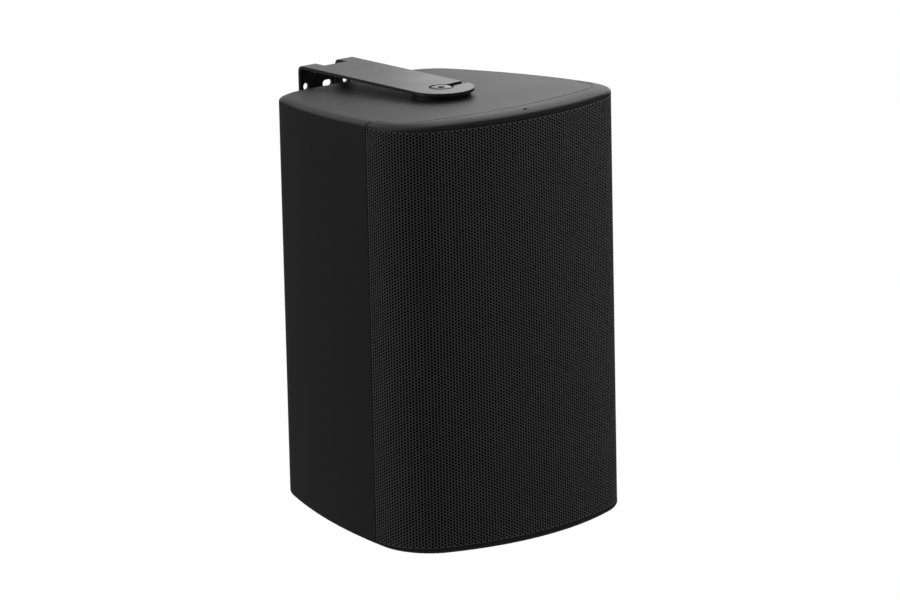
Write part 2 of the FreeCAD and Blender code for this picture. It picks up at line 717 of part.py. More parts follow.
def make_pivots():
    seat = d.arm_top - d.recess_depth + d.pivot_play
    bolt = turned("pivot_bolt", [(0, -d.bolt_length), (d.bolt_radius, -d.bolt_length), (d.bolt_radius, 0),
                                 (d.bolt_head_radius, 0), (d.bolt_head_radius, d.bolt_head),
                                 (0, d.bolt_head)], about="z")
    place(bolt, 0, y_bolt, seat)
    socket = doc.addObject("Part::Prism", "bolt_socket")
    socket.Polygon = 6
    bind(socket, Circumradius=d.bolt_socket / math.sqrt(3), Height=d.bolt_socket_depth + FAR)
    place(socket, 0, y_bolt, seat + d.bolt_head - d.bolt_socket_depth)
    piece(both_ends("pivot_bolts", cut("pivot_bolt", bolt, socket)), "pivot_bolts")
    disc = rod("spacer_disc", d.pad_radius, d.spacer, (0, y_bolt, d.pad_top), "z")
    bore = rod("spacer_bore", d.bolt_radius + d.fit, d.spacer, (0, y_bolt, d.pad_top), "z")
    piece(both_ends("pivot_spacers", cut("pivot_spacer", disc, bore)), "pivot_spacers")
    low = d.pad_top - d.insert_length
    brass = rod("insert_blank", d.insert_radius, d.insert_length, (0, y_bolt, low), "z")
    thread = rod("insert_thread", d.bolt_radius + d.thread_play, d.insert_length, (0, y_bolt, low), "z")
    piece(both_ends("pivot_inserts", cut("pivot_insert", brass, thread)), "pivot_inserts")


# Cabinet and front frame, cut from one outer form

POSTS = [(sign * d.post_x, row * d.post_z) for sign in (1, -1) for row in (1, 0, -1)]
wide_open = (-half_width - FAR, half_width + FAR)
tall_open = (-half_height - FAR, half_height + FAR)
skin = d.grille_recess + d.grille_sheet
core_inset = skin + d.cloth


def pivot_rod(name, radius, length, sign):
    """A rod on the pivot axis that ends at the upper or the lower pad."""
    low = d.pad_top - length if sign > 0 else -d.pad_top
    return rod(name, radius, length, (0, y_bolt, low), "z")


def make_cabinet(outer, cavity, tongue_floor, seal_band):
    shell_zone = block("cabinet_zone", wide_open, (y_split, y_rear + FAR), tall_open)
    blank = common("cabinet_blank", outer, shell_zone)
    cap = common("tongue_cap", outer, seam_prism("seam", 0))
    ahead = block("tongue_zone", wide_open, (y_front - FAR, y_split), tall_open)
    tongue = common("cabinet_tongue", cut("tongue_slab", cap, tongue_floor), ahead)
    cup_x, cup_z = cup_recess()
    opening = block("terminal_opening", (-cup_x - d.fit, cup_x + d.fit), (y_rear - FAR, y_rear + FAR),
                    (d.cup_z - cup_z - d.fit, d.cup_z + cup_z + d.fit))
    shell = cut("cabinet_shell", fuse("cabinet_body", blank, tongue), cavity, seal_band, opening)
    added, drilled = [], []
    for sign in (1, -1):
        name = "upper" if sign > 0 else "lower"
        added.append(pivot_rod(name + "_pad", d.pad_radius, d.pad_thickness, sign))
        added.append(pivot_rod(name + "_boss", d.boss_radius, d.boss_length, sign))
        drilled.append(pivot_rod(name + "_insert_hole", d.insert_radius, d.insert_length, sign))
        tip_depth = d.boss_length - d.boss_floor
        drilled.append(pivot_rod(name + "_tip_hole", d.bolt_radius + d.fit, tip_depth, sign))
    for i, (x, z) in enumerate(POSTS):
        reach = half_width - d.wall / 2
        web = (d.post_x, reach) if x.value > 0 else (-reach, -d.post_x)
        added.append(rod("cabinet_post_%d" % i, d.post_radius, d.post_bite, (x, y_split, z), "y"))
        depths = (y_split + d.spigot_length + d.web_gap, y_split + d.post_bite)
        added.append(block("cabinet_web_%d" % i, web, depths, (z - d.web / 2, z + d.web / 2)))
        drilled.append(rod("cabinet_pilot_%d" % i, d.frame_screw_radius + d.thread_play,
                           d.frame_screw_bite + d.pilot_extra, (x, y_split, z), "y"))
    inner_back = y_rear - d.wall
    for i, (x, z) in enumerate(board_corners()):
        added.append(rod("board_post_%d" % i, d.board_post_radius, d.board_stand + d.wall / 2,
                         (x, inner_back - d.board_stand, z), "y"))
        drilled.append(rod("board_pilot_%d" % i, d.board_screw_radius + d.thread_play,
                           d.board_screw_bite + d.pilot_extra, (x, inner_back - d.board_stand, z), "y"))
    for i, (x, z) in enumerate(cup_corners()):
        drilled.append(rod("cup_pilot_%d" % i, d.driver_screw_radius + d.thread_play, 2 * d.wall,
                           (x, y_rear - d.wall, z), "y"))
    solid = fuse("cabinet_solid", shell, *added)
    return piece(cut("rear_cabinet", solid, *drilled), "rear_cabinet")


def make_front(outer, core, seal_band):
    front_zone = block("frame_zone", wide_open, (y_front - FAR, y_split), tall_open)
    blank = common("frame_blank", outer, front_zone)
    ahead = (y_front - FAR, y_split + FAR)
    slot_zone = block("grille_zone", wide_open, ahead,
                      (d.grille_bottom - d.grille_gap, d.grille_top + d.grille_gap))
    slot = cut("grille_slot", slot_zone, core)
    high = half_height - d.window_margin
    window = block("frame_window", wide_open, (y_front - FAR, y_baffle), (-high, high))
    inner = half_width - d.frame_side
    hollow = block("frame_hollow", (-inner, inner), (y_baffle + d.baffle, y_split + FAR), (-high, high))
    floor = envelope("recess_floor", -FAR, d.tongue + d.fit)
    step = cut("tongue_recess", seam_prism("seam_wide", d.seam_gap), floor)
    release = rod("release_hole", d.release_radius, d.release_depth + FAR,
                  (0, y_front + d.release_back, half_height - d.release_depth), "z")
    shell = cut("frame_shell", blank, slot, window, hollow, step, release)
    added = []
    inset = d.wall + d.fit
    spigot_zone = block("spigot_zone", wide_open, (y_split, y_split + d.spigot_length), tall_open)
    plug = common("spigot_plug", crowned("spigot_form", inset), spigot_zone)
    bore = crowned("spigot_bore", inset + d.spigot_wall)
    added.append(cut("spigot", plug, bore))
    tower = y_split - y_baffle - d.baffle
    drilled = []
    for i, (x, z) in enumerate(POSTS):
        added.append(rod("tower_%d" % i, d.post_radius, tower, (x, y_baffle + d.baffle, z), "y"))
        drilled.append(rod("tower_hole_%d" % i, d.frame_screw_radius + d.fit, tower + d.baffle,
                           (x, y_baffle, z), "y"))
    for name, radius, z in (("woofer_hole", d.woofer_frame_radius, d.woofer_z),
                            ("tweeter_hole", d.tweeter_body_radius, d.tweeter_z)):
        drilled.append(rod(name, radius + d.driver_clearance, d.baffle, (0, y_baffle, z), "y"))
    for i, (x, z) in enumerate(driver_spots()):
        drilled.append(rod("driver_pilot_%d" % i, d.driver_screw_radius + d.thread_play,
                           d.driver_screw_bite + d.pilot_extra, (x, y_baffle, z), "y"))
    frame = cut("front_frame", fuse("frame_solid", shell, *added), *drilled)
    piece(frame, "front_frame")
    piece(cut("baffle_seal", seal_band, crowned("seal_bore", inset)), "baffle_seal")
    length = y_split - y_baffle + d.frame_screw_bite
    screws = [screw("frame_screw_%d" % i, (x, y_baffle, z), d.frame_head_radius, d.frame_head,
                    d.frame_screw_radius, length, 1) for i, (x, z) in enumerate(POSTS)]
    piece(group("frame_screws", *screws), "frame_screws")


def make_grille(core):
    face = envelope("grille_face", d.grille_recess, -FAR)
    back = envelope("grille_back", skin, -FAR)
    zone = block("grille_window", wide_open, (y_front - FAR, y_split), (d.grille_bottom, d.grille_top))
    sheet_zone = common("grille_blank", face, zone)
    piece(cut("grille", sheet_zone, back), "grille")
    cloth_zone = common("cloth_blank", back, zone)
    piece(cut("grille_cloth", cloth_zone, core), "grille_cloth")


# Woofer, turned about an axis along Y; axial sizes count from the baffle face

coil_inner = d.pole_radius + d.coil_gap
coil_outer = coil_inner + d.coil
WOOFER_RING = on_ring(d.woofer_screw_ring, 6, 30.0)
TWEETER_RING = on_ring(d.tweeter_screw_ring, 4, 45.0)


def driver_spots():
    low = [(x, d.woofer_z + z) for x, z in WOOFER_RING]
    return low + [(x, d.tweeter_z + z) for x, z in TWEETER_RING]


def at_woofer(obj):
    return place(obj, 0, y_baffle, d.woofer_z)


def at_tweeter(obj):
    return place(obj, 0, y_baffle, d.tweeter_z)


def drilled_ring(name, blank, spots, radius, depth_from, depth_to):
    holes = [rod("%s_hole_%d" % (name, i), radius, depth_to - depth_from, (x, y_baffle + depth_from, z), "y")
             for i, (x, z) in enumerate(spots)]
    return cut(name, blank, *holes)


def half_roll(name, front, inner, outer, middle, roll, thick):
    """Rubber ring with a half-round roll towards the listener."""
    back = front + thick
    return turned(name, [(front, outer), (front, middle + roll), (front, middle - roll), (front, inner),
                         (back, inner), (back, middle - roll + thick), (back, middle + roll - thick),
                         (back, outer)],
                  {1: ("x", front, 1), 5: ("x", back, -1)})


def make_woofer():
    spots = [(x, d.woofer_z + z) for x, z in WOOFER_RING]
    flange, depth, wall = -d.woofer_flange, d.woofer_depth, d.woofer_frame_wall
    floor = depth - wall
    ledge_in, ledge_out = d.spider_ledge_radius, d.spider_ledge_radius + d.spider_ledge_width
    ledge = floor - d.spider_ledge
    bore = d.woofer_frame_radius - wall
    body = turned("woofer_basket", [
        (flange, d.woofer_flange_radius), (0, d.woofer_flange_radius), (0, d.woofer_frame_radius),
        (d.woofer_straight, d.woofer_frame_radius), (depth, d.woofer_seat_radius),
        (depth, d.woofer_seat_hole), (floor, d.woofer_seat_hole), (floor, ledge_in), (ledge, ledge_in),
        (ledge, ledge_out),
        (floor, ledge_out), (floor, d.woofer_seat_radius - wall), (d.woofer_straight, bore), (flange, bore)])
    window = new_sketch(body, "XZ_Plane")
    low, high = d.woofer_seat_radius + wall, bore - wall
    half = d.woofer_window / 2
    spread = half * high / low
    loop(window, [(-half, low), (half, low), (spread, high), (-spread, high)])
    opening = pocket(body, window)
    ring = body.newObject("PartDesign::PolarPattern", "woofer_windows")
    ring.Originals = [opening]
    ring.Axis = (origin_feature(body, "Y_Axis"), [""])
    ring.Angle = 360.0
    ring.Occurrences = 6
    body.Tip = ring
    hole = d.driver_screw_radius + d.fit
    piece(drilled_ring("woofer_basket", at_woofer(body), spots, hole, flange, as_dim(0)), "woofer_basket")
    rubber = flange - d.surround
    landing = d.cone_radius - d.cone_landing
    piece(at_woofer(half_roll("woofer_surround", rubber, landing, d.surround_rim, d.surround_radius,
                              d.surround_roll, d.surround)), "woofer_surround")
    face = flange - d.woofer_gasket
    strip = turned("woofer_gasket", [(face, d.surround_rim), (face, d.woofer_flange_radius),
                                     (flange, d.woofer_flange_radius), (flange, d.surround_rim)])
    piece(drilled_ring("woofer_gasket", at_woofer(strip), spots, hole, face, flange), "woofer_gasket")
    length = d.woofer_flange + d.woofer_gasket + d.driver_screw_bite
    screws = [screw("woofer_screw_%d" % i, (x, y_baffle + face, z), d.driver_head_radius, d.driver_head,
                    d.driver_screw_radius, length, 1) for i, (x, z) in enumerate(spots)]
    piece(group("woofer_screws", *screws), "woofer_screws")
    neck = d.cone_neck - d.cone
    piece(at_woofer(turned("woofer_cone", [
        (flange, d.cone_radius), (flange, landing), (neck, coil_outer), (d.cone_neck, coil_outer),
        (flange + d.cone, landing), (flange + d.cone, d.cone_radius)])), "woofer_cone")
    rim = flange + (landing - d.dust_cap_radius) * (neck - flange) / (landing - coil_outer)
    apex = rim - d.dust_cap_rise
    piece(at_woofer(turned("woofer_dust_cap", [
        (rim, d.dust_cap_radius), (rim - d.surround, d.dust_cap_radius), (apex - d.surround, 0), (apex, 0)],
        {1: ("y", 0, 1), 3: ("y", 0, -1)})), "woofer_dust_cap")
    end = depth + d.woofer_plate + d.coil_overhang
    piece(at_woofer(turned("woofer_voice_coil", [
        (d.coil_front, coil_inner), (d.coil_front, coil_outer), (end, coil_outer), (end, coil_inner)])),
        "woofer_voice_coil")
    piece(at_woofer(make_spider(ledge, ledge_out)), "woofer_spider")
    plate_end = depth + d.woofer_plate
    magnet_end = plate_end + d.woofer_magnet
    yoke_end = magnet_end + d.woofer_yoke
    gap_outer = coil_outer + d.coil_gap
    piece(at_woofer(turned("woofer_top_plate", [
        (depth, gap_outer), (depth, d.woofer_plate_radius), (plate_end, d.woofer_plate_radius),
        (plate_end, gap_outer)])), "woofer_top_plate")
    piece(at_woofer(turned("woofer_magnet", [
        (plate_end, d.woofer_magnet_hole), (plate_end, d.woofer_magnet_radius),
        (magnet_end, d.woofer_magnet_radius), (magnet_end, d.woofer_magnet_hole)])), "woofer_magnet")
    piece(at_woofer(turned("woofer_yoke", [
        (depth, d.pole_vent), (depth, d.pole_radius), (magnet_end, d.pole_radius),
        (magnet_end, d.woofer_plate_radius), (yoke_end, d.woofer_plate_radius), (yoke_end, d.pole_vent)])),
        "woofer_yoke")


def make_spider(ledge, rim):
    """Corrugated disc from the voice coil to the basket's ledge."""
    folds = 6
    flat = d.spider_ledge_radius - coil_outer - d.spider_ledge_width
    front, back = [], []
    for i in range(folds + 1):
        radius = coil_outer + d.spider_ledge_width / 2 + flat * (i / folds)
        rise = 0 if i in (0, folds) else (d.spider if i % 2 else -d.spider)
        front.append((ledge - d.spider - rise, radius))
        back.append((ledge - rise, radius))
    points = [(ledge - d.spider, coil_outer)] + front + [(ledge - d.spider, rim), (ledge, rim)]
    return turned("woofer_spider", points + back[::-1] + [(ledge, coil_outer)])


# Tweeter, turned about its own axis


def make_tweeter():
    spots = [(x, d.tweeter_z + z) for x, z in TWEETER_RING]
    face, guide = -d.tweeter_plate, d.tweeter_guide
    back = d.baffle
    plate = turned("tweeter_faceplate", [
        (face, d.tweeter_plate_radius), (0, d.tweeter_plate_radius), (0, d.tweeter_body_radius),
        (back, d.tweeter_body_radius), (back, d.tweeter_throat), (guide, d.tweeter_throat),
        (face, d.tweeter_mouth)])
    piece(drilled_ring("tweeter_faceplate", at_tweeter(plate), spots, d.driver_screw_radius + d.fit, face,
                       as_dim(0)), "tweeter_faceplate")
    length = d.tweeter_plate + d.driver_screw_bite
    screws = [screw("tweeter_screw_%d" % i, (x, y_baffle + face, z), d.driver_head_radius, d.driver_head,
                    d.driver_screw_radius, length, 1) for i, (x, z) in enumerate(spots)]
    piece(group("tweeter_screws", *screws), "tweeter_screws")
    film_end = back + d.dome
    former = d.dome_radius - d.dome
    piece(at_tweeter(turned("tweeter_dome", [
        (film_end + d.dome_skirt, d.dome_radius), (back, d.dome_radius), (back - d.dome_rise, 0),
        (back - d.dome_rise + d.dome, 0), (back + d.dome, former), (film_end + d.dome_skirt, former)],
        {1: ("y", 0, 1), 3: ("y", 0, -1)})), "tweeter_dome")
    middle = d.dome_radius + d.dome + d.dome_roll
    piece(at_tweeter(half_roll("tweeter_surround", back, d.dome_radius, d.dome_rim, middle, d.dome_roll,
                               d.dome)), "tweeter_surround")
    plate_end = film_end + d.tweeter_top_plate
    magnet_end = plate_end + d.tweeter_magnet
    yoke_end = magnet_end + d.tweeter_yoke
    gap_outer = d.dome_radius + d.coil_gap
    piece(at_tweeter(turned("tweeter_top_plate", [
        (film_end, gap_outer), (film_end, d.tweeter_magnet_radius), (plate_end, d.tweeter_magnet_radius),
        (plate_end, gap_outer)])), "tweeter_top_plate")
    piece(at_tweeter(turned("tweeter_magnet", [
        (plate_end, d.tweeter_magnet_hole), (plate_end, d.tweeter_magnet_radius),
        (magnet_end, d.tweeter_magnet_radius), (magnet_end, d.tweeter_magnet_hole)])), "tweeter_magnet")
    pole = film_end + d.coil_gap
    piece(at_tweeter(turned("tweeter_yoke", [
        (pole, 0), (pole, d.tweeter_pole_radius), (magnet_end, d.tweeter_pole_radius),
        (magnet_end, d.tweeter_magnet_radius), (yoke_end, d.tweeter_magnet_radius), (yoke_end, 0)])),
        "tweeter_yoke")


# Crossover on the back wall


def board_corners():
    x = d.board_width / 2 - d.board_inset
    z = d.board_height / 2 - d.board_inset
    return [(sx * x, d.board_z + sz * z) for sx in (1, -1) for sz in (1, -1)]


def ring_coil(name, radius, height, x, z, face):
    tube = rod(name + "_tube", radius, height, (x, face - height, z), "y")
    core = rod(name + "_core", d.coil_core_radius, height, (x, face - height, z), "y")
    return piece(cut(name, tube, core), name)


def make_crossover():
    back = y_rear - d.wall - d.board_stand
    face = back - d.board
    half_w, half_h = d.board_width / 2, d.board_height / 2
    blank = block("board_blank", (-half_w, half_w), (face, back), (d.board_z - half_h, d.board_z + half_h))
    holes = [rod("board_hole_%d" % i, d.board_screw_radius + d.fit, d.board, (x, face, z), "y")
             for i, (x, z) in enumerate(board_corners())]
    piece(cut("crossover_board", blank, *holes), "crossover_board")
    length = d.board + d.board_screw_bite
    screws = [screw("board_screw_%d" % i, (x, face, z), d.board_head_radius, d.board_head,
                    d.board_screw_radius, length, 1) for i, (x, z) in enumerate(board_corners())]
    piece(group("board_screws", *screws), "board_screws")
    upper = d.board_z + d.inductor_up
    ring_coil("bass_inductor", d.bass_coil_radius, d.bass_coil, -d.inductor_x, upper, face)
    ring_coil("treble_inductor", d.treble_coil_radius, d.treble_coil, d.inductor_x, upper, face)
    lower = d.board_z - half_h + d.capacitor_radius + d.part_gap
    middle = lower + 2 * d.capacitor_radius + d.part_gap
    left = -d.capacitor_length - d.part_gap
    cans = [(left, lower), (left, middle), (d.part_gap, lower)]
    axis = face - d.capacitor_radius
    rods = [rod("capacitor_%d" % i, d.capacitor_radius, d.capacitor_length, (x, axis, z), "x")
            for i, (x, z) in enumerate(cans)]
    piece(group("crossover_capacitors", *rods), "crossover_capacitors")
    low = middle - d.resistor_side / 2
    near = d.part_gap / 2
    piece(block("crossover_resistor", (near, near + d.resistor_length), (face - d.resistor_side, face),
                (low, low + d.resistor_side)), "crossover_resistor")


# Terminals in a recess of the back


def cup_recess():
    return d.cup_width / 2 - d.cup_rim, d.cup_height / 2 - d.cup_rim


def cup_corners():
    x = d.cup_width / 2 - d.cup_screw_inset
    z = d.cup_height / 2 - d.cup_screw_inset
    return [(sx * x, d.cup_z + sz * z) for sx in (1, -1) for sz in (1, -1)]


def make_terminals():
    cup_x, cup_z = cup_recess()
    half_w, half_h = d.cup_width / 2, d.cup_height / 2
    outside = y_rear + d.cup_flange
    floor = y_rear - d.cup_depth + d.cup_wall
    flange = block("cup_plate", (-half_w, half_w), (y_rear, outside), (d.cup_z - half_h, d.cup_z + half_h))
    tub = block("cup_tub", (-cup_x, cup_x), (y_rear - d.cup_depth, y_rear),
                (d.cup_z - cup_z, d.cup_z + cup_z))
    in_x, in_z = cup_x - d.cup_wall, cup_z - d.cup_wall
    inside = block("cup_inside", (-in_x, in_x), (floor, outside), (d.cup_z - in_z, d.cup_z + in_z))
    holes = [rod("cup_hole_%d" % i, d.driver_screw_radius + d.fit, d.cup_flange, (x, y_rear, z), "y")
             for i, (x, z) in enumerate(cup_corners())]
    piece(cut("terminal_cup", fuse("cup_blank", flange, tub), inside, *holes), "terminal_cup")
    screws = [screw("cup_screw_%d" % i, (x, outside, z), d.driver_head_radius, d.driver_head,
                    d.driver_screw_radius, d.cup_flange + d.wall, -1)
              for i, (x, z) in enumerate(cup_corners())]
    piece(group("cup_screws", *screws), "cup_screws")
    half_b, high_b = d.block_width / 2, d.block_height / 2
    top = floor + d.block_depth
    blank = block("terminal_blank", (-half_b, half_b), (floor, top), (d.cup_z - high_b, d.cup_z + high_b))
    spots = [(sign * d.terminal_pitch / 2, d.cup_z) for sign in (1, -1)]
    threads = [rod("terminal_thread_%d" % i, d.driver_screw_radius + d.thread_play,
                   d.terminal_bite + d.pilot_extra, (x, top - d.terminal_bite - d.pilot_extra, z), "y")
               for i, (x, z) in enumerate(spots)]
    piece(cut("terminal_block", blank, *threads), "terminal_block")
    clamps = [screw("terminal_screw_%d" % i, (x, top, z), d.terminal_head_radius, d.terminal_head,
                    d.driver_screw_radius, d.terminal_bite, -1) for i, (x, z) in enumerate(spots)]
    piece(group("terminal_screws", *clamps), "terminal_screws")


def make_wadding():
    half_w, half_h = d.wadding_width / 2, d.wadding_height / 2
    back = y_rear - d.wall
    piece(block("damping_wadding", (-half_w, half_w), (back - d.wadding, back),
                (d.wadding_z - half_h, d.wadding_z + half_h)), "damping_wadding")


outer_form = crowned("outer_form", as_dim(0))
round_walls(outer_form)
core_form = envelope("core_form", core_inset, -FAR)
make_bracket()
make_pivots()
rebate_inset = d.wall - d.seal_size
seal_zone = block("seal_zone", wide_open, (y_split, y_split + d.seal_size), tall_open)
seal_band = common("seal_band", crowned("seal_form", rebate_inset), seal_zone)
cavity_form = crowned("cavity_form", d.wall)
make_cabinet(outer_form, cavity_form, envelope("tongue_floor", -FAR, d.tongue), seal_band)
make_front(outer_form, core_form, seal_band)
make_grille(core_form)
make_woofer()
make_tweeter()
make_crossover()
make_terminals()
make_wadding()
doc.recompute()

failed = [obj.Name for obj in doc.Objects if "Invalid" in obj.State or "Error" in obj.State]
if failed:
    raise RuntimeError("objects that failed: %s" % failed)
for obj in SUBPARTS:
    if obj.Shape.isNull() or not obj.Shape.isValid() or not obj.Shape.Solids:
        raise RuntimeError("sub-part without a valid solid: %s" % obj.Label)

os.makedirs("parts", exist_ok=True)
for obj in SUBPARTS:
    obj.Shape.exportStep(os.path.join("parts", obj.Label + ".step"))
    print("%-22s solids %2d  volume %10.1f mm3" % (obj.Label, len(obj.Shape.Solids), obj.Shape.Volume))
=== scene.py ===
# %% [markdown]
# A black two-way wall speaker hangs in a folded steel bracket: a moulded cabinet, a front frame, a bowed
# perforated grille and a pivot bolt above and below. This lesson dresses the measured solids for a picture.
# Pieces that give the object its look are drawn again as surfaces with numpy; the rest keep their solids and
# get a finish. Sizes are written in millimetres, and the wall is the plane y = 0 with the speaker facing -Y.

# %% Frame and measures
import json
import math

import bmesh
import bpy
import numpy as np
from mathutils import Matrix


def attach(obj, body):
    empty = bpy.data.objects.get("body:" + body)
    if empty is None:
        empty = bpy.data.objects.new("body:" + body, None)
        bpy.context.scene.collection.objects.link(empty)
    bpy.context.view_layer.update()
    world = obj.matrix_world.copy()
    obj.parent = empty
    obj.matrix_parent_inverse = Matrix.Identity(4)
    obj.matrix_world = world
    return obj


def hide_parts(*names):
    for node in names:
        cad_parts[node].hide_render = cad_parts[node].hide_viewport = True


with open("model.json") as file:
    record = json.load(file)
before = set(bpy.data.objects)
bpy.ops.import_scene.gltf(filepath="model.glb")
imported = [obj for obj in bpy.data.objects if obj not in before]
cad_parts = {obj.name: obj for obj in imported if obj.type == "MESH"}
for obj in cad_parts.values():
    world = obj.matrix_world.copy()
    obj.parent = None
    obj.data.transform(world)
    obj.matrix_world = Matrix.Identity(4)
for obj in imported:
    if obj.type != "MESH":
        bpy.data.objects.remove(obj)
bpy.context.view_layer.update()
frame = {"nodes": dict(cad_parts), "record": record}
MM = 0.001

# %% [markdown]
# The picture was taken from the front left and a little above, through a long lens. The camera sits at the
# point that a fit to the outline gave, and its axes are written as a matrix: right, up and back.

# %% Camera
FOCAL_PIXELS = 5701.87
IMAGE_WIDTH = 900
SENSOR = 36.0
CAMERA_PLACE = np.array([-2878.99, -3635.61, 1121.76])
azimuth, elevation, roll = np.radians([-39.616, 13.923, -1.28])
level_part = np.cos(elevation)
back = np.array([np.sin(azimuth) * level_part, -np.cos(azimuth) * level_part, np.sin(elevation)])
level_right = np.cross(-back, [0, 0, 1])
level_right /= np.linalg.norm(level_right)
level_up = np.cross(level_right, -back)
right = level_right * np.cos(roll) + level_up * np.sin(roll)
up = level_up * np.cos(roll) - level_right * np.sin(roll)
camera_frame = np.eye(4)
camera_frame[:3, :3] = np.stack([right, up, back], axis=1)
camera_frame[:3, 3] = CAMERA_PLACE * MM
camera = bpy.data.objects.new("camera", bpy.data.cameras.new("camera"))
camera.data.sensor_width = SENSOR
camera.data.lens = FOCAL_PIXELS / IMAGE_WIDTH * SENSOR
camera.data.clip_end = 100.0
camera.matrix_world = Matrix(camera_frame.tolist())
bpy.context.scene.collection.objects.link(camera)
bpy.context.scene.camera = camera
print("lens %.1f mm" % camera.data.lens)

# %% [markdown]
# Seen from above, each half of the cabinet is four arcs that run into each other without a kink, and a flat
# back. One function walks along that outline and returns points on it, or on a parallel line further in.
# Every moulded piece and the grille use it, so they fit each other like the real ones.

# %% Outline seen from above
FRONT_Y, REAR_Y, SPLIT_Y, BAFFLE_Y = -269.0, -30.5, -198.7, -231.0
HALF_WIDTH = 117.25
FRONT_R, CORNER_R, SIDE_R, REAR_R = 250.0, 47.5, 447.0, 42.5
corner_x = HALF_WIDTH - CORNER_R
corner_y = FRONT_Y + FRONT_R - math.sqrt((FRONT_R - CORNER_R) ** 2 - corner_x ** 2)
rear_turn = math.asin((REAR_Y - REAR_R - corner_y) / (SIDE_R - REAR_R))
rear_x = HALF_WIDTH - SIDE_R + (SIDE_R - REAR_R) * math.cos(rear_turn)
front_turn = math.atan2(corner_y - FRONT_Y - FRONT_R, corner_x)
ARC_CENTRE = np.array([(0, FRONT_Y + FRONT_R), (corner_x, corner_y), (HALF_WIDTH - SIDE_R, corner_y),
                       (rear_x, REAR_Y - REAR_R)])
ARC_RADIUS = np.array([FRONT_R, CORNER_R, SIDE_R, REAR_R])
ARC_ANGLE = np.array([-math.pi / 2, front_turn, 0.0, rear_turn, math.pi / 2])
ARC_START = np.concatenate([[0.0], np.cumsum(ARC_RADIUS * np.diff(ARC_ANGLE))])
BACK_MIDDLE = ARC_START[4] + rear_x
SPLIT = ARC_START[2] + SIDE_R * math.asin((SPLIT_Y - corner_y) / SIDE_R)


def outline(along, inset):
    """Points x, y of the outline moved inwards: centre + (radius - inset) * (cos, sin) of the arc's angle.

    along is the distance from the middle of the front, positive to the right and negative to the left.
    """
    along, inset = np.broadcast_arrays(np.asarray(along, float), np.asarray(inset, float))
    walked = np.abs(along)
    arc = np.clip(np.searchsorted(ARC_START, walked, side="right") - 1, 0, 4)
    bow = np.minimum(arc, 3)
    angle = ARC_ANGLE[bow] + (walked - ARC_START[bow]) / ARC_RADIUS[bow]
    reach = ARC_RADIUS[bow] - inset
    x = np.where(arc < 4, ARC_CENTRE[bow, 0] + reach * np.cos(angle), BACK_MIDDLE - walked)
    y = np.where(arc < 4, ARC_CENTRE[bow, 1] + reach * np.sin(angle), REAR_Y - inset)
    return x * np.where(along < 0, -1.0, 1.0), y


print("outline %.1f mm round, joint at %.1f mm" % (2 * BACK_MIDDLE, SPLIT))

# %% [markdown]
# The top falls towards the back and the bottom rises. Both end in a soft crowned border, wide along the front
# and narrow along the sides, whose edge is rounded into the wall. That border catches the light in the
# picture, so it is worked out row by row instead of being a plain bevel.

# %% Falling top and crowned border
HALF_HEIGHT, TOP_FALL, BOTTOM_RISE = 177.4, 9.8, 11.4
HEIGHT = 2 * HALF_HEIGHT
CROWN = 2.4
FRONT_BORDER, SIDE_BORDER = 20.0, 9.0
FRONT_ROUND, SIDE_ROUND = 3.6, 1.8
LEVEL_ROW = 0.35


def cap_height(y, side):
    """Height of the top (side 1) or the bottom (side -1): a straight fall with depth."""
    share = (y - FRONT_Y) / (REAR_Y - FRONT_Y)
    return side * (HALF_HEIGHT - share * (TOP_FALL if side > 0 else BOTTOM_RISE))


def eased(share):
    """Smooth step 3t^2 - 2t^3 between 0 and 1."""
    share = np.clip(share, 0.0, 1.0)
    return share * share * (3 - 2 * share)


def front_share(along):
    """1 along the front, 0 from the joint backwards, eased round the front corner."""
    return eased((SPLIT - np.abs(along)) / (SPLIT - ARC_START[1]))


def border_width(along):
    """Width of the border: side + (front - side) * share of the front."""
    return SIDE_BORDER + (FRONT_BORDER - SIDE_BORDER) * front_share(along)


def border(along, crown_rows=9, round_rows=7):
    """Inset and drop of the border, rows from its inner edge to the wall.

    A level row comes first, so that the flat cap is shaded flat. The crown drops as the square of the way to
    the edge; a quarter turn of the edge radius follows it.
    """
    width = border_width(along)
    radius = SIDE_ROUND + (FRONT_ROUND - SIDE_ROUND) * front_share(along)
    lean = np.arctan(2 * CROWN / width)
    start = radius * (1 - np.sin(lean))
    inset = start + (width - start) * np.linspace(1, 0, crown_rows)[:, None]
    drop = CROWN * (1 - inset / width) ** 2
    inset = np.vstack([inset[:1] + LEVEL_ROW, inset])
    drop = np.vstack([drop[:1], drop])
    turn = lean + (math.pi / 2 - lean) * np.linspace(0, 1, round_rows)[1:, None]
    edge_inset = radius * (1 - np.sin(turn))
    edge_drop = drop[-1] + radius * (np.cos(lean) - np.cos(turn))
    return np.concatenate([inset, edge_inset]), np.concatenate([drop, edge_drop])


print("border %.1f mm wide in front, %.1f mm at the sides" % (FRONT_BORDER, SIDE_BORDER))

# %% [markdown]
# A shape is built from patches: a grid of points becomes quads, and a ring of points becomes one flat face.
# The patches of a piece are joined into one mesh, points that lie on each other are welded, and edges sharper
# than a set angle stay crisp.

# %% Patches


def stack(x, y, z):
    """Points from x, y and z, each spread to the same shape."""
    return np.stack(np.broadcast_arrays(x, y, z), axis=-1).astype(float)


def grid(points, flip=False):
    """Quads between the rows and columns of a grid; rows run down, columns run to the right."""
    rows, columns = points.shape[:2]
    index = np.arange(rows * columns).reshape(rows, columns)
    corners = [index[:-1, :-1], index[1:, :-1], index[1:, 1:], index[:-1, 1:]]
    quads = np.stack(corners, axis=-1).reshape(-1, 4)
    return points.reshape(-1, 3), (quads[:, ::-1] if flip else quads).tolist()


def leave_out(patch, width, rows, columns):
    """A grid without the quads between two rows and two columns; width is the number of quads in a row."""
    points, faces = patch
    kept = [face for i, face in enumerate(faces)
            if not (rows[0] <= i // width < rows[1] and columns[0] <= i % width < columns[1])]
    return points, kept


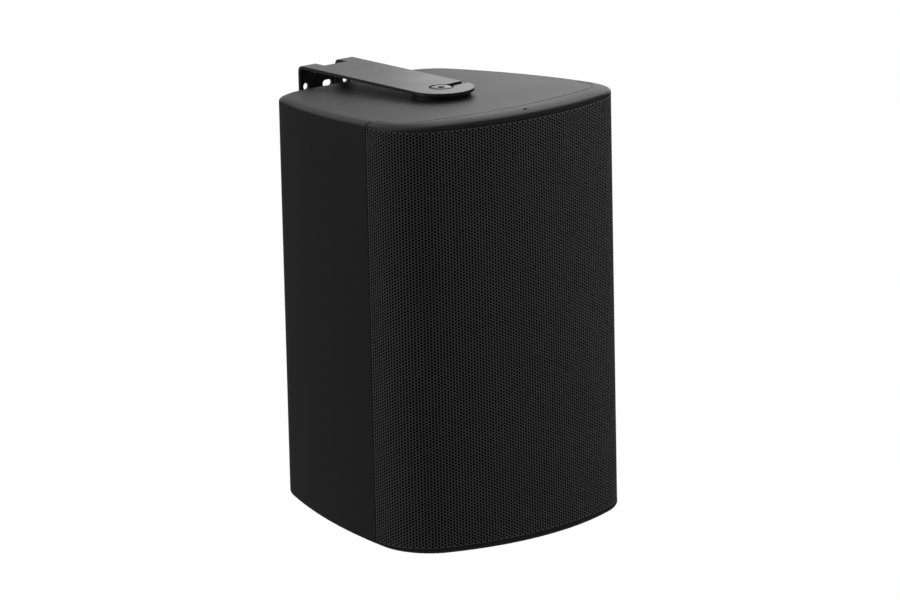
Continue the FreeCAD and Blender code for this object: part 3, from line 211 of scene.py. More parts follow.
def flat_face(points, flip=False):
    """One face round a ring of points."""
    corners = list(range(len(points)))
    return points, [corners[::-1] if flip else corners]


def edge_of(block):
    """The points round the edge of a block of a grid, with the first one again at the end."""
    return np.concatenate([block[0], block[1:, -1], block[-1, -2::-1], block[-2::-1, 0]])


def turned(profile, centre, axis, steps=48):
    """A profile of (radius, height) turned round an axis: centre + radius * (cos, sin) at each height."""
    angle = np.linspace(0, 2 * np.pi, steps + 1)
    radius, height = np.asarray(profile, float).T
    a, b = np.outer(radius, np.cos(angle)), np.outer(radius, np.sin(angle))
    tall = np.repeat(height[:, None], steps + 1, axis=1)
    ways = {"y": (a, tall, -b), "z": (a, b, tall)}[axis]
    return grid(stack(*ways) + np.asarray(centre, float))


# %% Pieces
# Points nearer than the first length are welded, and edges shorter than the second are dissolved
WELD, SLIVER = 0.004, 0.0005


def make_piece(name, patches, crisp=32.0, weld=True):
    """Join patches into one object at the origin; corners sharper than the crisp angle stay sharp."""
    points, faces, start = [], [], 0
    for patch_points, patch_faces in patches:
        points.append(patch_points)
        faces.extend([corner + start for corner in face] for face in patch_faces)
        start += len(patch_points)
    mesh = bpy.data.meshes.new(name)
    mesh.from_pydata((np.concatenate(points) * MM).tolist(), [], faces)
    if weld:
        work = bmesh.new()
        work.from_mesh(mesh)
        bmesh.ops.remove_doubles(work, verts=work.verts, dist=WELD * MM)
        bmesh.ops.dissolve_degenerate(work, edges=work.edges, dist=SLIVER * MM)
        bmesh.ops.recalc_face_normals(work, faces=work.faces)
        work.to_mesh(mesh)
        work.free()
    return show_mesh(name, mesh, math.radians(crisp))


def show_mesh(name, mesh, crisp_angle):
    """Smooth shading with crisp edges, and an object that carries the mesh."""
    mesh.polygons.foreach_set("use_smooth", np.ones(len(mesh.polygons), bool))
    mesh.set_sharp_from_angle(angle=crisp_angle)
    piece = bpy.data.objects.new(name, mesh)
    bpy.context.scene.collection.objects.link(piece)
    print("%-22s %7d faces" % (name, len(mesh.polygons)))
    return piece


# %% [markdown]
# Front frame and cabinet meet on the top in a bowed line with round corners. The cabinet ends there in a thin
# tongue that lies in a step of the frame, and the gap between them shows as a fine dark seam.

# %% Seam line on the top
SEAM_FRONT, SEAM_BOW, SEAM_CORNER, SEAM_REACH = FRONT_Y + 25.6, 310.0, 24.0, HALF_WIDTH - 11.0
SEAM_GAP = 0.6
TONGUE = 2.5
# Rows of the rounded edge at the seam: distance from the edge and drop
EASED_EDGE = [(0.60, 0.0), (0.30, 0.0), (0.15, 0.04), (0.04, 0.15), (0.0, 0.30)]
SEAM_STEPS = np.sin(np.linspace(-math.pi / 2, math.pi / 2, 97))
seam_x = SEAM_REACH - SEAM_CORNER
seam_y = SEAM_FRONT + SEAM_BOW - math.sqrt((SEAM_BOW - SEAM_CORNER) ** 2 - seam_x ** 2)
seam_turn = math.atan2(seam_y - SEAM_FRONT - SEAM_BOW, seam_x)
bow_length = SEAM_BOW * (seam_turn + math.pi / 2)
SEAM_LENGTH = bow_length - SEAM_CORNER * seam_turn


def seam(along, grow):
    """Points of the seam line moved outwards by grow: bow, corner arc, straight end at the joint.

    along runs from -1 at the left end over 0 in the middle of the front to 1 at the right end.
    """
    walked = np.abs(along) * SEAM_LENGTH
    bow_angle = -math.pi / 2 + np.minimum(walked, bow_length) / SEAM_BOW
    corner_angle = seam_turn + np.maximum(walked - bow_length, 0) / SEAM_CORNER
    bowed = walked <= bow_length
    bow, corner = SEAM_BOW + grow, SEAM_CORNER + grow
    x = np.where(bowed, bow * np.cos(bow_angle), seam_x + corner * np.cos(corner_angle))
    y = np.where(bowed, SEAM_FRONT + SEAM_BOW + bow * np.sin(bow_angle),
                 seam_y + corner * np.sin(corner_angle))
    y = np.where(np.abs(along) >= 1, SPLIT_Y, y)
    return x * np.where(along < 0, -1.0, 1.0), y


def seam_edge(side, sign, grow, depth):
    """Rounded edge of the tongue (sign -1) or of the frame's step (sign 1), down to a depth."""
    rows = [(grow + sign * out, down) for out, down in EASED_EDGE] + [(grow, depth)]
    lines = []
    for out, down in rows:
        x, y = seam(SEAM_STEPS, out)
        lines.append(stack(x, y, cap_height(y, side) - side * down))
    return np.stack(lines)


print("seam %.1f mm a side" % SEAM_LENGTH)

# %% [markdown]
# The cabinet is one hollow moulding. Its skin is the border profile carried along the outline, from the joint
# on the right round the back to the joint on the left, then the flat caps with their tongues. An inner skin
# follows it one wall thickness further in.

# %% Columns and rows of the cabinet's skin
WALL = 4.0
# Columns beside the joint, and how far the edge there is rounded back
JOINT = np.array([0.1, 0.3, 0.6, 1.0])
JOINT_EASE = np.array([0.9, 0.4, 0.12, 0.0])
# Terminal opening in the flat back: height of its middle, half width and half height
CUP_Z, CUP_X, CUP_TALL = -0.268 * HEIGHT, 32.2, 20.2
BACK_STEP = 16.0
side_run = np.concatenate([SPLIT + JOINT, np.linspace(SPLIT + 3, ARC_START[3], 26)])
corner_run = np.linspace(ARC_START[3], ARC_START[4], 17)[1:]
back_run = BACK_MIDDLE - np.array([CUP_X, BACK_STEP])
right_run = np.concatenate([side_run, corner_run, back_run])
CABINET_RUN = np.concatenate([right_run, [BACK_MIDDLE], -right_run[::-1]])
OPENING = (len(right_run) - 2, len(right_run) + 2)


def joint_ease(along):
    """How far the edge at the joint is rounded back, by distance from the joint."""
    return np.interp(np.abs(np.abs(along) - SPLIT), JOINT, JOINT_EASE)


def wall_rows(top, bottom, rear_top, rear_bottom):
    """Heights between two edges, and the two rows that meet the terminal opening in the flat back."""
    tall = rear_top - rear_bottom
    first = (rear_top - (CUP_Z + CUP_TALL)) / tall
    last = (rear_top - (CUP_Z - CUP_TALL)) / tall
    above, beside, below = np.linspace(0, first, 9), np.linspace(first, last, 4), np.linspace(last, 1, 5)
    shares = np.concatenate([above, beside[1:], below[1:]])
    return top + (bottom - top) * shares[:, None], len(above) - 1, len(above) + len(beside) - 2


def cabinet_skin(depth):
    """The border and wall at a depth inside the skin, and the rows of the opening.

    The border narrows with the depth: size * (1 - depth / border).
    """
    inset, drop = border(CABINET_RUN)
    inset = depth + inset * (1 - depth / SIDE_BORDER)
    drop = depth + drop * (1 - depth / SIDE_BORDER)
    ease = joint_ease(CABINET_RUN)
    inset, drop = inset + ease * (drop > depth), drop + ease * np.clip(drop - depth, 0, 1)
    x, y = outline(CABINET_RUN, inset)
    y[:, [0, -1]] = SPLIT_Y + JOINT[0]
    upper = cap_height(y, 1) - drop
    lower = cap_height(y, -1) + drop
    middle = len(CABINET_RUN) // 2
    walls, first, last = wall_rows(upper[-1], lower[-1], upper[-1, middle], lower[-1, middle])
    rows = len(walls) - 2
    xs = np.concatenate([x, np.repeat(x[-1:], rows, axis=0), x[::-1]])
    ys = np.concatenate([y, np.repeat(y[-1:], rows, axis=0), y[::-1]])
    zs = np.concatenate([upper, walls[1:-1], lower[::-1]])
    return stack(xs, ys, zs), (len(x) - 1 + first, len(x) - 1 + last)


print("cabinet columns:", len(CABINET_RUN))

# %% Skins, caps and openings of the cabinet


def cabinet_cap(side, rim, roof):
    """A flat cap with the tongue's edge and underside, and the step to the roof inside.

    rim is the inner edge of the border, and roof the same row of the inner skin.
    """
    edge = seam_edge(side, -1, 0.0, TONGUE)
    cap = np.concatenate([rim, edge[0]])
    step = np.concatenate([[roof[0], rim[0]], edge[:, -1], edge[::-1, 0], [rim[-1], roof[-1]]])
    return [flat_face(cap, side < 0), grid(edge, side < 0), flat_face(edge[-1], side > 0), flat_face(step)]


outer_skin, opening_rows = cabinet_skin(0.0)
inner_skin, _ = cabinet_skin(WALL)
cabinet_patches = [leave_out(grid(skin, flip), skin.shape[1] - 1, opening_rows, OPENING)
                   for skin, flip in ((outer_skin, False), (inner_skin, True))]
cabinet_patches += [flat_face(inner_skin[0], True), flat_face(inner_skin[-1], False)]
for side, row in ((1, 0), (-1, -1)):
    cabinet_patches += cabinet_cap(side, outer_skin[row], inner_skin[row])
for end in (0, -1):
    joint_face = np.stack([outer_skin[:, end], inner_skin[:, end]], axis=1)
    cabinet_patches.append(grid(joint_face, end == 0))
reveal = [edge_of(skin[opening_rows[0]:opening_rows[1] + 1, OPENING[0]:OPENING[1] + 1])
          for skin in (outer_skin, inner_skin)]
cabinet_patches.append(grid(np.stack(reveal)))
print("cabinet patches:", len(cabinet_patches))

# %% [markdown]
# Level pads carry the bracket's pivots, and bosses and posts inside take the screws. They are turned
# profiles, set into the skin. A pad's edge is rounded, and posts have a blind hole.

# %% Pads, bosses and posts of the cabinet
BOLT_Y, PAD_TOP, PAD_R = -152.4, 173.6, 24.0
PAD_FOOT, BOSS_R, BOSS_FOOT = PAD_TOP - 10, 11.0, PAD_TOP - 24
PAD_EDGE, PAD_BEVEL = 0.6, 0.2
# Places of the posts for the frame's screws, and of those that hold the crossover's board off the back
POST_X, POST_Z = HALF_WIDTH - 20.25, HALF_HEIGHT - 29.4
BOARD_X, BOARD_Z, BOARD_HALF, BOARD_OFF = 40.0, 0.113 * HEIGHT, 34.0, 10.0


def screw_post(radius, length, hole, depth):
    """Profile of a post: floor and wall of its blind hole, rim, side and foot."""
    return [(0, depth), (hole, depth), (hole, 0), (radius, 0), (radius, length), (0, length)]


frame_post = screw_post(radius=6.0, length=26.0, hole=2.0, depth=16.0)
board_post = screw_post(radius=4.0, length=12.0, hole=1.4, depth=8.0)
pad_profile = [(0, PAD_TOP), (PAD_R - PAD_EDGE, PAD_TOP), (PAD_R - PAD_BEVEL, PAD_TOP - PAD_BEVEL),
               (PAD_R, PAD_TOP - PAD_EDGE), (PAD_R, PAD_FOOT), (BOSS_R, PAD_FOOT), (BOSS_R, BOSS_FOOT),
               (0, BOSS_FOOT)]
low_pad = [(radius, -height) for radius, height in pad_profile][::-1]
cabinet_patches.append(turned(pad_profile, (0, BOLT_Y, 0), "z", 96))
cabinet_patches.append(turned(low_pad, (0, BOLT_Y, 0), "z", 96))
for x in (POST_X, -POST_X):
    for z in (POST_Z, 0, -POST_Z):
        cabinet_patches.append(turned(frame_post, (x, SPLIT_Y, z), "y", 24))
for x in (BOARD_X, -BOARD_X):
    for z in (BOARD_Z + BOARD_HALF, BOARD_Z - BOARD_HALF):
        cabinet_patches.append(turned(board_post, (x, REAR_Y - WALL - BOARD_OFF, z), "y", 20))
cabinet = make_piece("cabinet_shell", cabinet_patches)
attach(cabinet, "cabinet")
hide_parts("rear_cabinet")

# %% [markdown]
# The front frame shows only its rims: a wide crowned border on the top and on the bottom, a narrow upright
# face, and a slot that takes the grille. A pin hole in the upper rim lets the grille out. The rim is carried
# along the outline; the patch round the hole is a collar between a circle and the quads left out for it.

# %% Release hole in the upper rim
RELEASE_R, RELEASE_DEPTH = 2.0, 9.0
half_run = np.concatenate([[0, 1.25, 2.5, 3.75], np.linspace(8.0, ARC_START[1], 24),
                           np.linspace(ARC_START[1], SPLIT - 2, 40)[1:], SPLIT - JOINT[::-1]])
RIM_RUN = np.concatenate([-half_run[:0:-1], half_run])
# Rows of the border and columns of the rim between which quads are left out for the hole
hole_rows = (3, 6)
hole_columns = (len(half_run) - 4, len(half_run) + 2)


def rim_surface(along, inset, side):
    """A point of the rim's crown at any inset: cap height less crown * (1 - inset / width)^2."""
    x, y = outline(along, inset)
    share = np.clip(1 - inset / border_width(along), 0, 1)
    return stack(x, y, cap_height(y, side) - side * CROWN * share ** 2)


def hole_collar(inset):
    """Rings from the release hole to the edge of the quads left out for it, and the hole's wall.

    Each ray runs from the hole's circle to one point of that edge: radius + (reach - radius) * share.
    """
    b = edge_of(inset[hole_rows[0]:hole_rows[1] + 1, hole_columns[0]:hole_columns[1] + 1])
    columns = RIM_RUN[hole_columns[0]:hole_columns[1] + 1]
    a = edge_of(np.tile(columns, (hole_rows[1] - hole_rows[0] + 1, 1)))
    middle = (b.min() + b.max()) / 2
    angle = np.arctan2(b - middle, a)
    reach = np.hypot(a, b - middle)
    length = RELEASE_R + (reach - RELEASE_R) * np.linspace(0, 1, 4)[:, None]
    collar = rim_surface(length * np.cos(angle), middle + length * np.sin(angle), 1)
    wall = np.stack([collar[0], collar[0] - [0, 0, RELEASE_DEPTH]])
    return [grid(collar), grid(wall), flat_face(wall[1][:-1], True)]


print("rim columns:", len(RIM_RUN))

# %% Rims of the front frame
# Ends of the grille's slot, and half the height of the window behind it
SLOT_TOP, SLOT_BOTTOM, WINDOW = 171.5, -170.4, HALF_HEIGHT - 14.4
# Inset of the slot's floor, and least height of the upright face
CORE, LIP = 2.0, 0.3
# Room under the tongue, and the exponent that spreads the rim's columns along the seam
STEP_PLAY, SEAM_SPREAD = 0.2, 0.8


def along_rim(line):
    """A line of the seam at the columns of the rim, read between its points at |share| ^ spread."""
    share = RIM_RUN / SPLIT
    wanted = np.abs(share) ** SEAM_SPREAD * np.sign(share)
    return np.stack([np.interp(wanted, SEAM_STEPS, line[:, axis]) for axis in range(3)], axis=-1)


def rim_patches(side):
    """The closed profile of a rim carried along the front.

    It runs over the seam's edge, the border, the upright face and the slot, and back along the underside.
    """
    step = [along_rim(line) for line in seam_edge(side, 1, SEAM_GAP, TONGUE + STEP_PLAY)[::-1]]
    inset, drop = border(RIM_RUN)
    ease = joint_ease(RIM_RUN)
    inset, drop = inset + ease * (drop > 0), drop + ease * np.clip(drop, 0, 1)
    x, y = outline(RIM_RUN, inset)
    y[:, [0, -1]] = SPLIT_Y - JOINT[0]
    top = stack(x, y, cap_height(y, side) - side * drop)
    lip = top[-1, :, 2] - side * LIP
    slot = np.minimum(SLOT_TOP, lip) if side > 0 else np.maximum(SLOT_BOTTOM, lip)
    core_x, core_y = outline(RIM_RUN, CORE)
    core_y[[0, -1]] = SPLIT_Y
    behind = np.maximum(core_y, BAFFLE_Y)
    lower = [stack(x[-1], y[-1], slot), stack(core_x, core_y, slot), stack(core_x, core_y, side * WINDOW),
             stack(core_x, behind, side * WINDOW)]
    points = np.concatenate([np.stack(step), top, np.stack(lower), step[0][None]])
    quads = grid(points, side < 0)
    ends = [flat_face(points[:-1, 0]), flat_face(points[:-1, -1])]
    if side < 0:
        return [quads] + ends
    rows = (len(step) + hole_rows[0], len(step) + hole_rows[1])
    return [leave_out(quads, points.shape[1] - 1, rows, hole_columns)] + ends + hole_collar(inset)


frame_patches = rim_patches(1) + rim_patches(-1)
print("rim patches:", len(frame_patches))

# %% [markdown]
# Behind the grille the frame is a flat baffle with a round hole for each driver and two side walls. Nobody
# sees it through the cloth, but it keeps the frame's form when the model is taken apart.

# %% Baffle of the front frame
WOOFER_Z, TWEETER_Z = -0.175 * HEIGHT, 0.26 * HEIGHT
# Radii of the drivers' holes, thickness of the baffle and inner face of the side walls
WOOFER_HOLE, TWEETER_HOLE, BAFFLE = 71.0, 37.0, 12.0
LINING = HALF_WIDTH - 12.0
# The baffle is two plates, one round each hole, that overlap a little where they meet
DIVIDE, LAP = 22.0, 0.02
PLATES = [(-WINDOW, DIVIDE + LAP, WOOFER_Z, WOOFER_HOLE), (DIVIDE, WINDOW, TWEETER_Z, TWEETER_HOLE)]
baffle_along = np.interp(BAFFLE_Y, outline(half_run, CORE)[1], half_run)
baffle_x = float(outline(baffle_along, CORE)[0])


def ring_in_plate(down, up, radius, steps=72, rows=4):
    """Points between a round hole and its plate's edge: radius + (reach - radius) * share along each ray."""
    angle = np.linspace(0, 2 * np.pi, steps + 1)
    corners = np.arctan2([up, up, -down, -down], [baffle_x, -baffle_x, -baffle_x, baffle_x]) % (2 * np.pi)
    for corner in corners:
        angle[np.argmin(np.abs(angle - corner))] = corner
    cosine, sine = np.cos(angle), np.sin(angle)
    tall = np.where(sine > 0, up, down)
    reach = 1 / np.maximum(np.abs(cosine) / baffle_x, np.abs(sine) / tall)
    length = radius + (reach - radius) * np.linspace(0, 1, rows)[:, None]
    return length * cosine, length * sine


for low, high, z, radius in PLATES:
    a, b = ring_in_plate(z - low, high - z, radius)
    plate_face, plate_back = stack(a, BAFFLE_Y, b + z), stack(a, BAFFLE_Y + BAFFLE, b + z)
    frame_patches.append(grid(np.concatenate([plate_face, plate_back[::-1], plate_face[:1]])))
side_x, side_y = outline(np.linspace(baffle_along, SPLIT, 16), CORE)
side_y[-1] = SPLIT_Y
plan_x = np.concatenate([side_x, [LINING, LINING, side_x[0]]])
plan_y = np.concatenate([side_y, [SPLIT_Y, BAFFLE_Y, side_y[0]]])
for sign in (1, -1):
    wall = np.stack([stack(sign * plan_x, plan_y, WINDOW), stack(sign * plan_x, plan_y, -WINDOW)])
    frame_patches += [grid(wall), flat_face(wall[0][:-1]), flat_face(wall[1][:-1])]
front = make_piece("front_frame_moulding", frame_patches)
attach(front, "cabinet")
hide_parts("front_frame")

# %% [markdown]
# The grille is a steel sheet with round holes in upright columns, each column half a pitch higher than its
# neighbours. Real holes let the dark cloth show and give the sheet its depth, so every cell of the sheet is
# six quads round a six-sided hole. The walls of the holes are a piece of their own, to keep each mesh handy.

# %% Cells of the grille
PITCH = 2.6
HOLE_R = 1.1
COLUMNS, ROWS = 119, 131
# Insets of the sheet's face and of the inner ends of its holes
SHEET_FACE, SHEET_BACK = 0.15, 1.4
FIRST_ROW = -169.8
column = np.arange(COLUMNS)
raised = column % 2 == 1
middle_u = (column - (COLUMNS - 1) / 2) * PITCH
middle_v = FIRST_ROW + PITCH * (np.arange(ROWS) + 0.5) + (column % 2)[:, None] * PITCH / 2
turns = np.radians(60.0 * np.arange(6))
cell_u = np.concatenate([np.array([1, 1, -1, -1, -1, 1]) * PITCH / 2, HOLE_R * np.cos(turns)])
cell_v = np.concatenate([np.array([0, 1, 1, 0, -1, -1]) * PITCH / 2, HOLE_R * np.sin(turns)])
sheet_v = middle_v[:, :, None] + cell_v
sheet_u = np.broadcast_to(middle_u[:, None, None] + cell_u, sheet_v.shape)
# Raised columns lack the last hole, which would cut the sheet's edge
punched = ~(raised[:, None] & (np.arange(ROWS) == ROWS - 1))
cells = stack(*outline(sheet_u, SHEET_FACE), sheet_v)[punched].reshape(-1, 3)
this = np.arange(6)
following = (this + 1) % 6
six_quads = np.stack([this, following, 6 + following, 6 + this], axis=-1)
cell_faces = (12 * np.arange(punched.sum())[:, None, None] + six_quads).reshape(-1, 4).tolist()
print("grille holes:", int(punched.sum()))

# %% Sheet of the grille
GRILLE_TOP, GRILLE_BOTTOM = 171.1, -170.0
# The sheet stops short of the joint, which shows as a dark line
EDGE_GAP = 0.7
sheet_end = np.array([SPLIT - EDGE_GAP])


def strip(left, right, low, high):
    """Plain quads of the sheet between places along the outline and heights, all given as arrays."""
    along = np.stack([left, right, right, left], axis=-1)
    heights = np.stack([low, low, high, high], axis=-1)
    x, y = outline(along, SHEET_FACE)
    points = stack(x, np.minimum(y, SPLIT_Y), heights).reshape(-1, 3)
    return points, np.arange(len(points)).reshape(-1, 4).tolist()


edge_left, edge_right = middle_u - PITCH / 2, middle_u + PITCH / 2
low_edge = middle_v[:, 0] - PITCH / 2
high_edge = np.where(raised, middle_v[:, -2], middle_v[:, -1]) + PITCH / 2
low_line, high_line = np.full(COLUMNS, GRILLE_BOTTOM), np.full(COLUMNS, GRILLE_TOP)
sheet_patches = [(cells, cell_faces),
                 strip(edge_left, edge_right, low_line, low_edge),
                 strip(edge_left, edge_right, high_edge, high_line),
                 strip(-sheet_end, edge_left[:1], low_line[:1], high_line[:1]),
                 strip(edge_right[-1:], sheet_end, low_line[:1], high_line[:1])]
grille = make_piece("grille_sheet", sheet_patches, weld=False)

# %% Walls of the holes
back_ring = stack(*outline(sheet_u[:, :, 6:], SHEET_BACK), sheet_v[:, :, 6:])[punched]
front_ring = cells.reshape(-1, 12, 3)[:, 6:]
wall_points = np.concatenate([front_ring, back_ring], axis=1).reshape(-1, 3)
wall_patches = [(wall_points, cell_faces)]
edge_run = np.linspace(-sheet_end[0], sheet_end[0], 180)
for height, flip in ((GRILLE_TOP, True), (GRILLE_BOTTOM, False)):
    lines = [stack(*outline(edge_run, inset), height) for inset in (SHEET_FACE, SHEET_BACK)]
    wall_patches.append(grid(np.stack(lines), flip))
hole_walls = make_piece("grille_hole_walls", wall_patches, weld=False)
for piece in (grille, hole_walls):
    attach(piece, "cabinet")
    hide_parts("grille")

# %% [markdown]
# A thin black cloth lies behind the sheet and keeps the drivers out of sight. It is stretched round the
# frame, so it is a smooth sheet that follows the outline, with two faces and closed edges.

# %% Acoustic cloth
# Insets of the cloth's two faces, and its distance from the edges of the grille
CLOTH_FACE, CLOTH_BACK = 1.42, 1.98
CLOTH_MARGIN = 0.2
cloth_run = np.linspace(-SPLIT, SPLIT, 160)
cloth_rows = np.linspace(GRILLE_TOP - CLOTH_MARGIN, GRILLE_BOTTOM + CLOTH_MARGIN, 40)
cloth_sides = []
for inset in (CLOTH_FACE, CLOTH_BACK):
    x, y = outline(cloth_run, inset)
    y = np.minimum(y, SPLIT_Y - CLOTH_MARGIN)
    cloth_sides.append(stack(x[None, :], y[None, :], cloth_rows[:, None]))
facing, behind = cloth_sides
cloth_patches = [grid(facing), grid(behind, True), grid(np.stack([behind[0], facing[0]])),
                 grid(np.stack([facing[-1], behind[-1]])),
                 grid(np.stack([behind[:, 0], facing[:, 0]], axis=1)),
                 grid(np.stack([facing[:, -1], behind[:, -1]], axis=1))]
cloth = make_piece("acoustic_cloth", cloth_patches)
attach(cloth, "cabinet")
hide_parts("grille_cloth")

# %% [markdown]
# The bracket and the spacers are plain folded and turned pieces, and their solids already have the right
# form. What a solid lacks is the slight rounding that every cut edge has. A welded copy with flat areas
# merged into single faces takes a narrow bevel, and its edges then catch the light.

# %% Bracket and spacers with eased edges
COPY_WELD = 0.002
FLAT_ANGLE, EDGE_ANGLE = math.radians(0.6), math.radians(35)


def eased_copy(node, name, width):
    """A welded copy of a solid whose edges over 35 degrees get a narrow bevel."""
    work = bmesh.new()
    work.from_mesh(frame["nodes"][node].data)
    bmesh.ops.remove_doubles(work, verts=work.verts, dist=COPY_WELD * MM)
    bmesh.ops.dissolve_limit(work, angle_limit=FLAT_ANGLE, verts=work.verts, edges=work.edges)
    mesh = bpy.data.meshes.new(name)
    work.to_mesh(mesh)
    work.free()
    piece = show_mesh(name, mesh, EDGE_ANGLE)
    bevel = piece.modifiers.new("eased edges", "BEVEL")
    bevel.width = width * MM
    bevel.segments = 2
    bevel.limit_method = "ANGLE"
    bevel.angle_limit = EDGE_ANGLE
    shading = piece.modifiers.new("flat areas stay flat", "WEIGHTED_NORMAL")
    shading.weight = 100
    shading.keep_sharp = True
    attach(piece, "bracket" if node == "u_bracket" else "cabinet")
    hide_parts(node)
    return piece


bracket = eased_copy("u_bracket", "folded_bracket", width=0.35)
spacers = eased_copy("pivot_spacers", "pivot_spacer_pair", width=0.3)

# %% [markdown]
# The bolt heads are flat with a rounded shoulder and a hexagon socket. Rings of points do both: a ring
# follows a circle or, in the socket, a hexagon, whose distance from the axis is its half width over the
# cosine.

# %% Pivot bolts
# Height of the head's top, then radius and length of head and shank
HEAD_TOP, HEAD_R, HEAD, SHANK_R, SHANK = 179.15, 9.2, 1.3, 4.0, 24.0
# Half width of the socket across its flats, its depth and its eased edge
SOCKET, SOCKET_DEPTH, SOCKET_EDGE = 3.0, 4.5, 0.08
# Radius and depth of each round ring: flat top, shoulder, side, underside and shank
ROUND_RINGS = [(HEAD_R - 1.2, 0.0), (HEAD_R - 1.0, 0.06), (HEAD_R - 0.1, 0.8), (HEAD_R, 1.0), (HEAD_R, HEAD),
               (SHANK_R, HEAD), (SHANK_R, HEAD + SHANK), (0.0, HEAD + SHANK)]


def bolt(side):
    """Rings from the socket floor over the head and down the shank; side -1 hangs upside down."""
    angle = np.linspace(0, 2 * np.pi, 61)
    hexagon = SOCKET / np.cos(np.mod(angle + np.pi / 6, np.pi / 3) - np.pi / 6)
    radii = [0 * angle, hexagon, hexagon, hexagon + SOCKET_EDGE]
    radii += [radius + 0 * angle for radius, _ in ROUND_RINGS]
    depths = np.array([SOCKET_DEPTH, SOCKET_DEPTH, SOCKET_EDGE, 0.0] + [depth for _, depth in ROUND_RINGS])
    ring = np.stack(radii)
    height = side * (HEAD_TOP - depths)[:, None]
    return grid(stack(ring * np.cos(angle), ring * np.sin(angle) + BOLT_Y, height), side < 0)


bolts = make_piece("pivot_bolt_pair", [bolt(1), bolt(-1)])
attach(bolts, "cabinet")
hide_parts("pivot_bolts")

# %% [markdown]
# Finishes are node trees on Object coordinates, so a pattern stays on its piece in every view. One function
# turns a hex colour into linear light, and one adds a node with its settings and links.

# %% Tools for finishes


def linear(code):
    """An sRGB hex colour as linear red, green, blue and alpha.

    A channel c turns into ((c + 0.055) / 1.055)^2.4, or into c / 12.92 where it is dark.
    """
    values = np.array([int(code[i:i + 2], 16) for i in (1, 3, 5)]) / 255
    rgb = np.where(values <= 0.04045, values / 12.92, ((values + 0.055) / 1.055) ** 2.4)
    return (*rgb.tolist(), 1.0)


def socket_of(item, name):
    """An input of a node: i and a number for its place, or its name with _ for a space."""
    if name[0] == "i" and name[1:].isdigit():
        return item.inputs[int(name[1:])]
    return item.inputs[name.replace("_", " ")]


def add_node(tree, kind, settings=None, **sockets):
    """Add a node, set its properties, and set or link its sockets."""
    item = tree.nodes.new(kind)
    for name, value in (settings or {}).items():
        setattr(item, name, value)
    for name, value in sockets.items():
        socket = socket_of(item, name)
        if isinstance(value, bpy.types.NodeSocket):
            tree.links.new(value, socket)
        else:
            socket.default_value = value
    return item


def new_finish(name):
    """An empty finish with its shader and output, and the Object coordinates for its patterns."""
    finish = bpy.data.materials.new(name)
    finish.use_nodes = True
    tree = finish.node_tree
    tree.nodes.clear()
    shader = add_node(tree, "ShaderNodeBsdfPrincipled")
    add_node(tree, "ShaderNodeOutputMaterial", Surface=shader.outputs["BSDF"])
    place = add_node(tree, "ShaderNodeTexCoord").outputs["Object"]
    return finish, tree, shader, place


# %% Grained and woven finishes
# Length of one band of a wave texture at scale 1
WAVE_BAND = 0.314


def grained(name, dark, light, grain_mm, bump_mm, rough, spread, patch_mm, metallic=0.0, specular=0.5):
    """A finish with a fine bump, and a colour and a roughness that drift together between two values."""
    finish, tree, shader, place = new_finish(name)
    patches = add_node(tree, "ShaderNodeTexNoise", Vector=place, Scale=1 / (patch_mm * MM), Detail=3.0)
    tones = add_node(tree, "ShaderNodeMix", {"data_type": "RGBA"}, Factor=patches.outputs["Fac"],
                     i6=linear(dark), i7=linear(light))
    spreading = add_node(tree, "ShaderNodeMapRange", Value=patches.outputs["Fac"], To_Min=rough - spread,
                         To_Max=rough + spread)
    grain = add_node(tree, "ShaderNodeTexNoise", Vector=place, Scale=1 / (grain_mm * MM), Detail=2.0)
    bump = add_node(tree, "ShaderNodeBump", Height=grain.outputs["Fac"], Distance=bump_mm * MM, Strength=0.6)
    tree.links.new(tones.outputs[2], shader.inputs["Base Color"])
    tree.links.new(spreading.outputs["Result"], shader.inputs["Roughness"])
    tree.links.new(bump.outputs["Normal"], shader.inputs["Normal"])
    shader.inputs["Metallic"].default_value = metallic
    shader.inputs["Specular IOR Level"].default_value = specular
    return finish


def woven(name, dark, light, thread_mm, bump_mm, rough, specular):
    """Plain weave: two wave textures across each other give threads that pass over and under."""
    finish, tree, shader, place = new_finish(name)
    scale = WAVE_BAND / (thread_mm * MM) / 2
    across = add_node(tree, "ShaderNodeTexWave", {"bands_direction": "X"}, Vector=place, Scale=scale)
    along = add_node(tree, "ShaderNodeTexWave", {"bands_direction": "Z"}, Vector=place, Scale=scale)
    threads = add_node(tree, "ShaderNodeMath", {"operation": "MULTIPLY"}, i0=across.outputs["Fac"],
                       i1=along.outputs["Fac"])
    tones = add_node(tree, "ShaderNodeMix", {"data_type": "RGBA"}, Factor=threads.outputs["Value"],
                     i6=linear(dark), i7=linear(light))
    bump = add_node(tree, "ShaderNodeBump", Height=threads.outputs["Value"], Distance=bump_mm * MM)
    tree.links.new(tones.outputs[2], shader.inputs["Base Color"])
    tree.links.new(bump.outputs["Normal"], shader.inputs["Normal"])
    shader.inputs["Roughness"].default_value = rough
    shader.inputs["Specular IOR Level"].default_value = specular
    return finish


# %% [markdown]
# The outside is black on black: a satin ABS moulding with a fine spark-eroded grain, a powder-coated grille,
# a smoother coated bracket. They differ in gloss and grain, hardly in colour. Each row gives a name, two
# tones, grain and bump in mm, roughness with its spread, the size of the patches in mm, metal and specular.

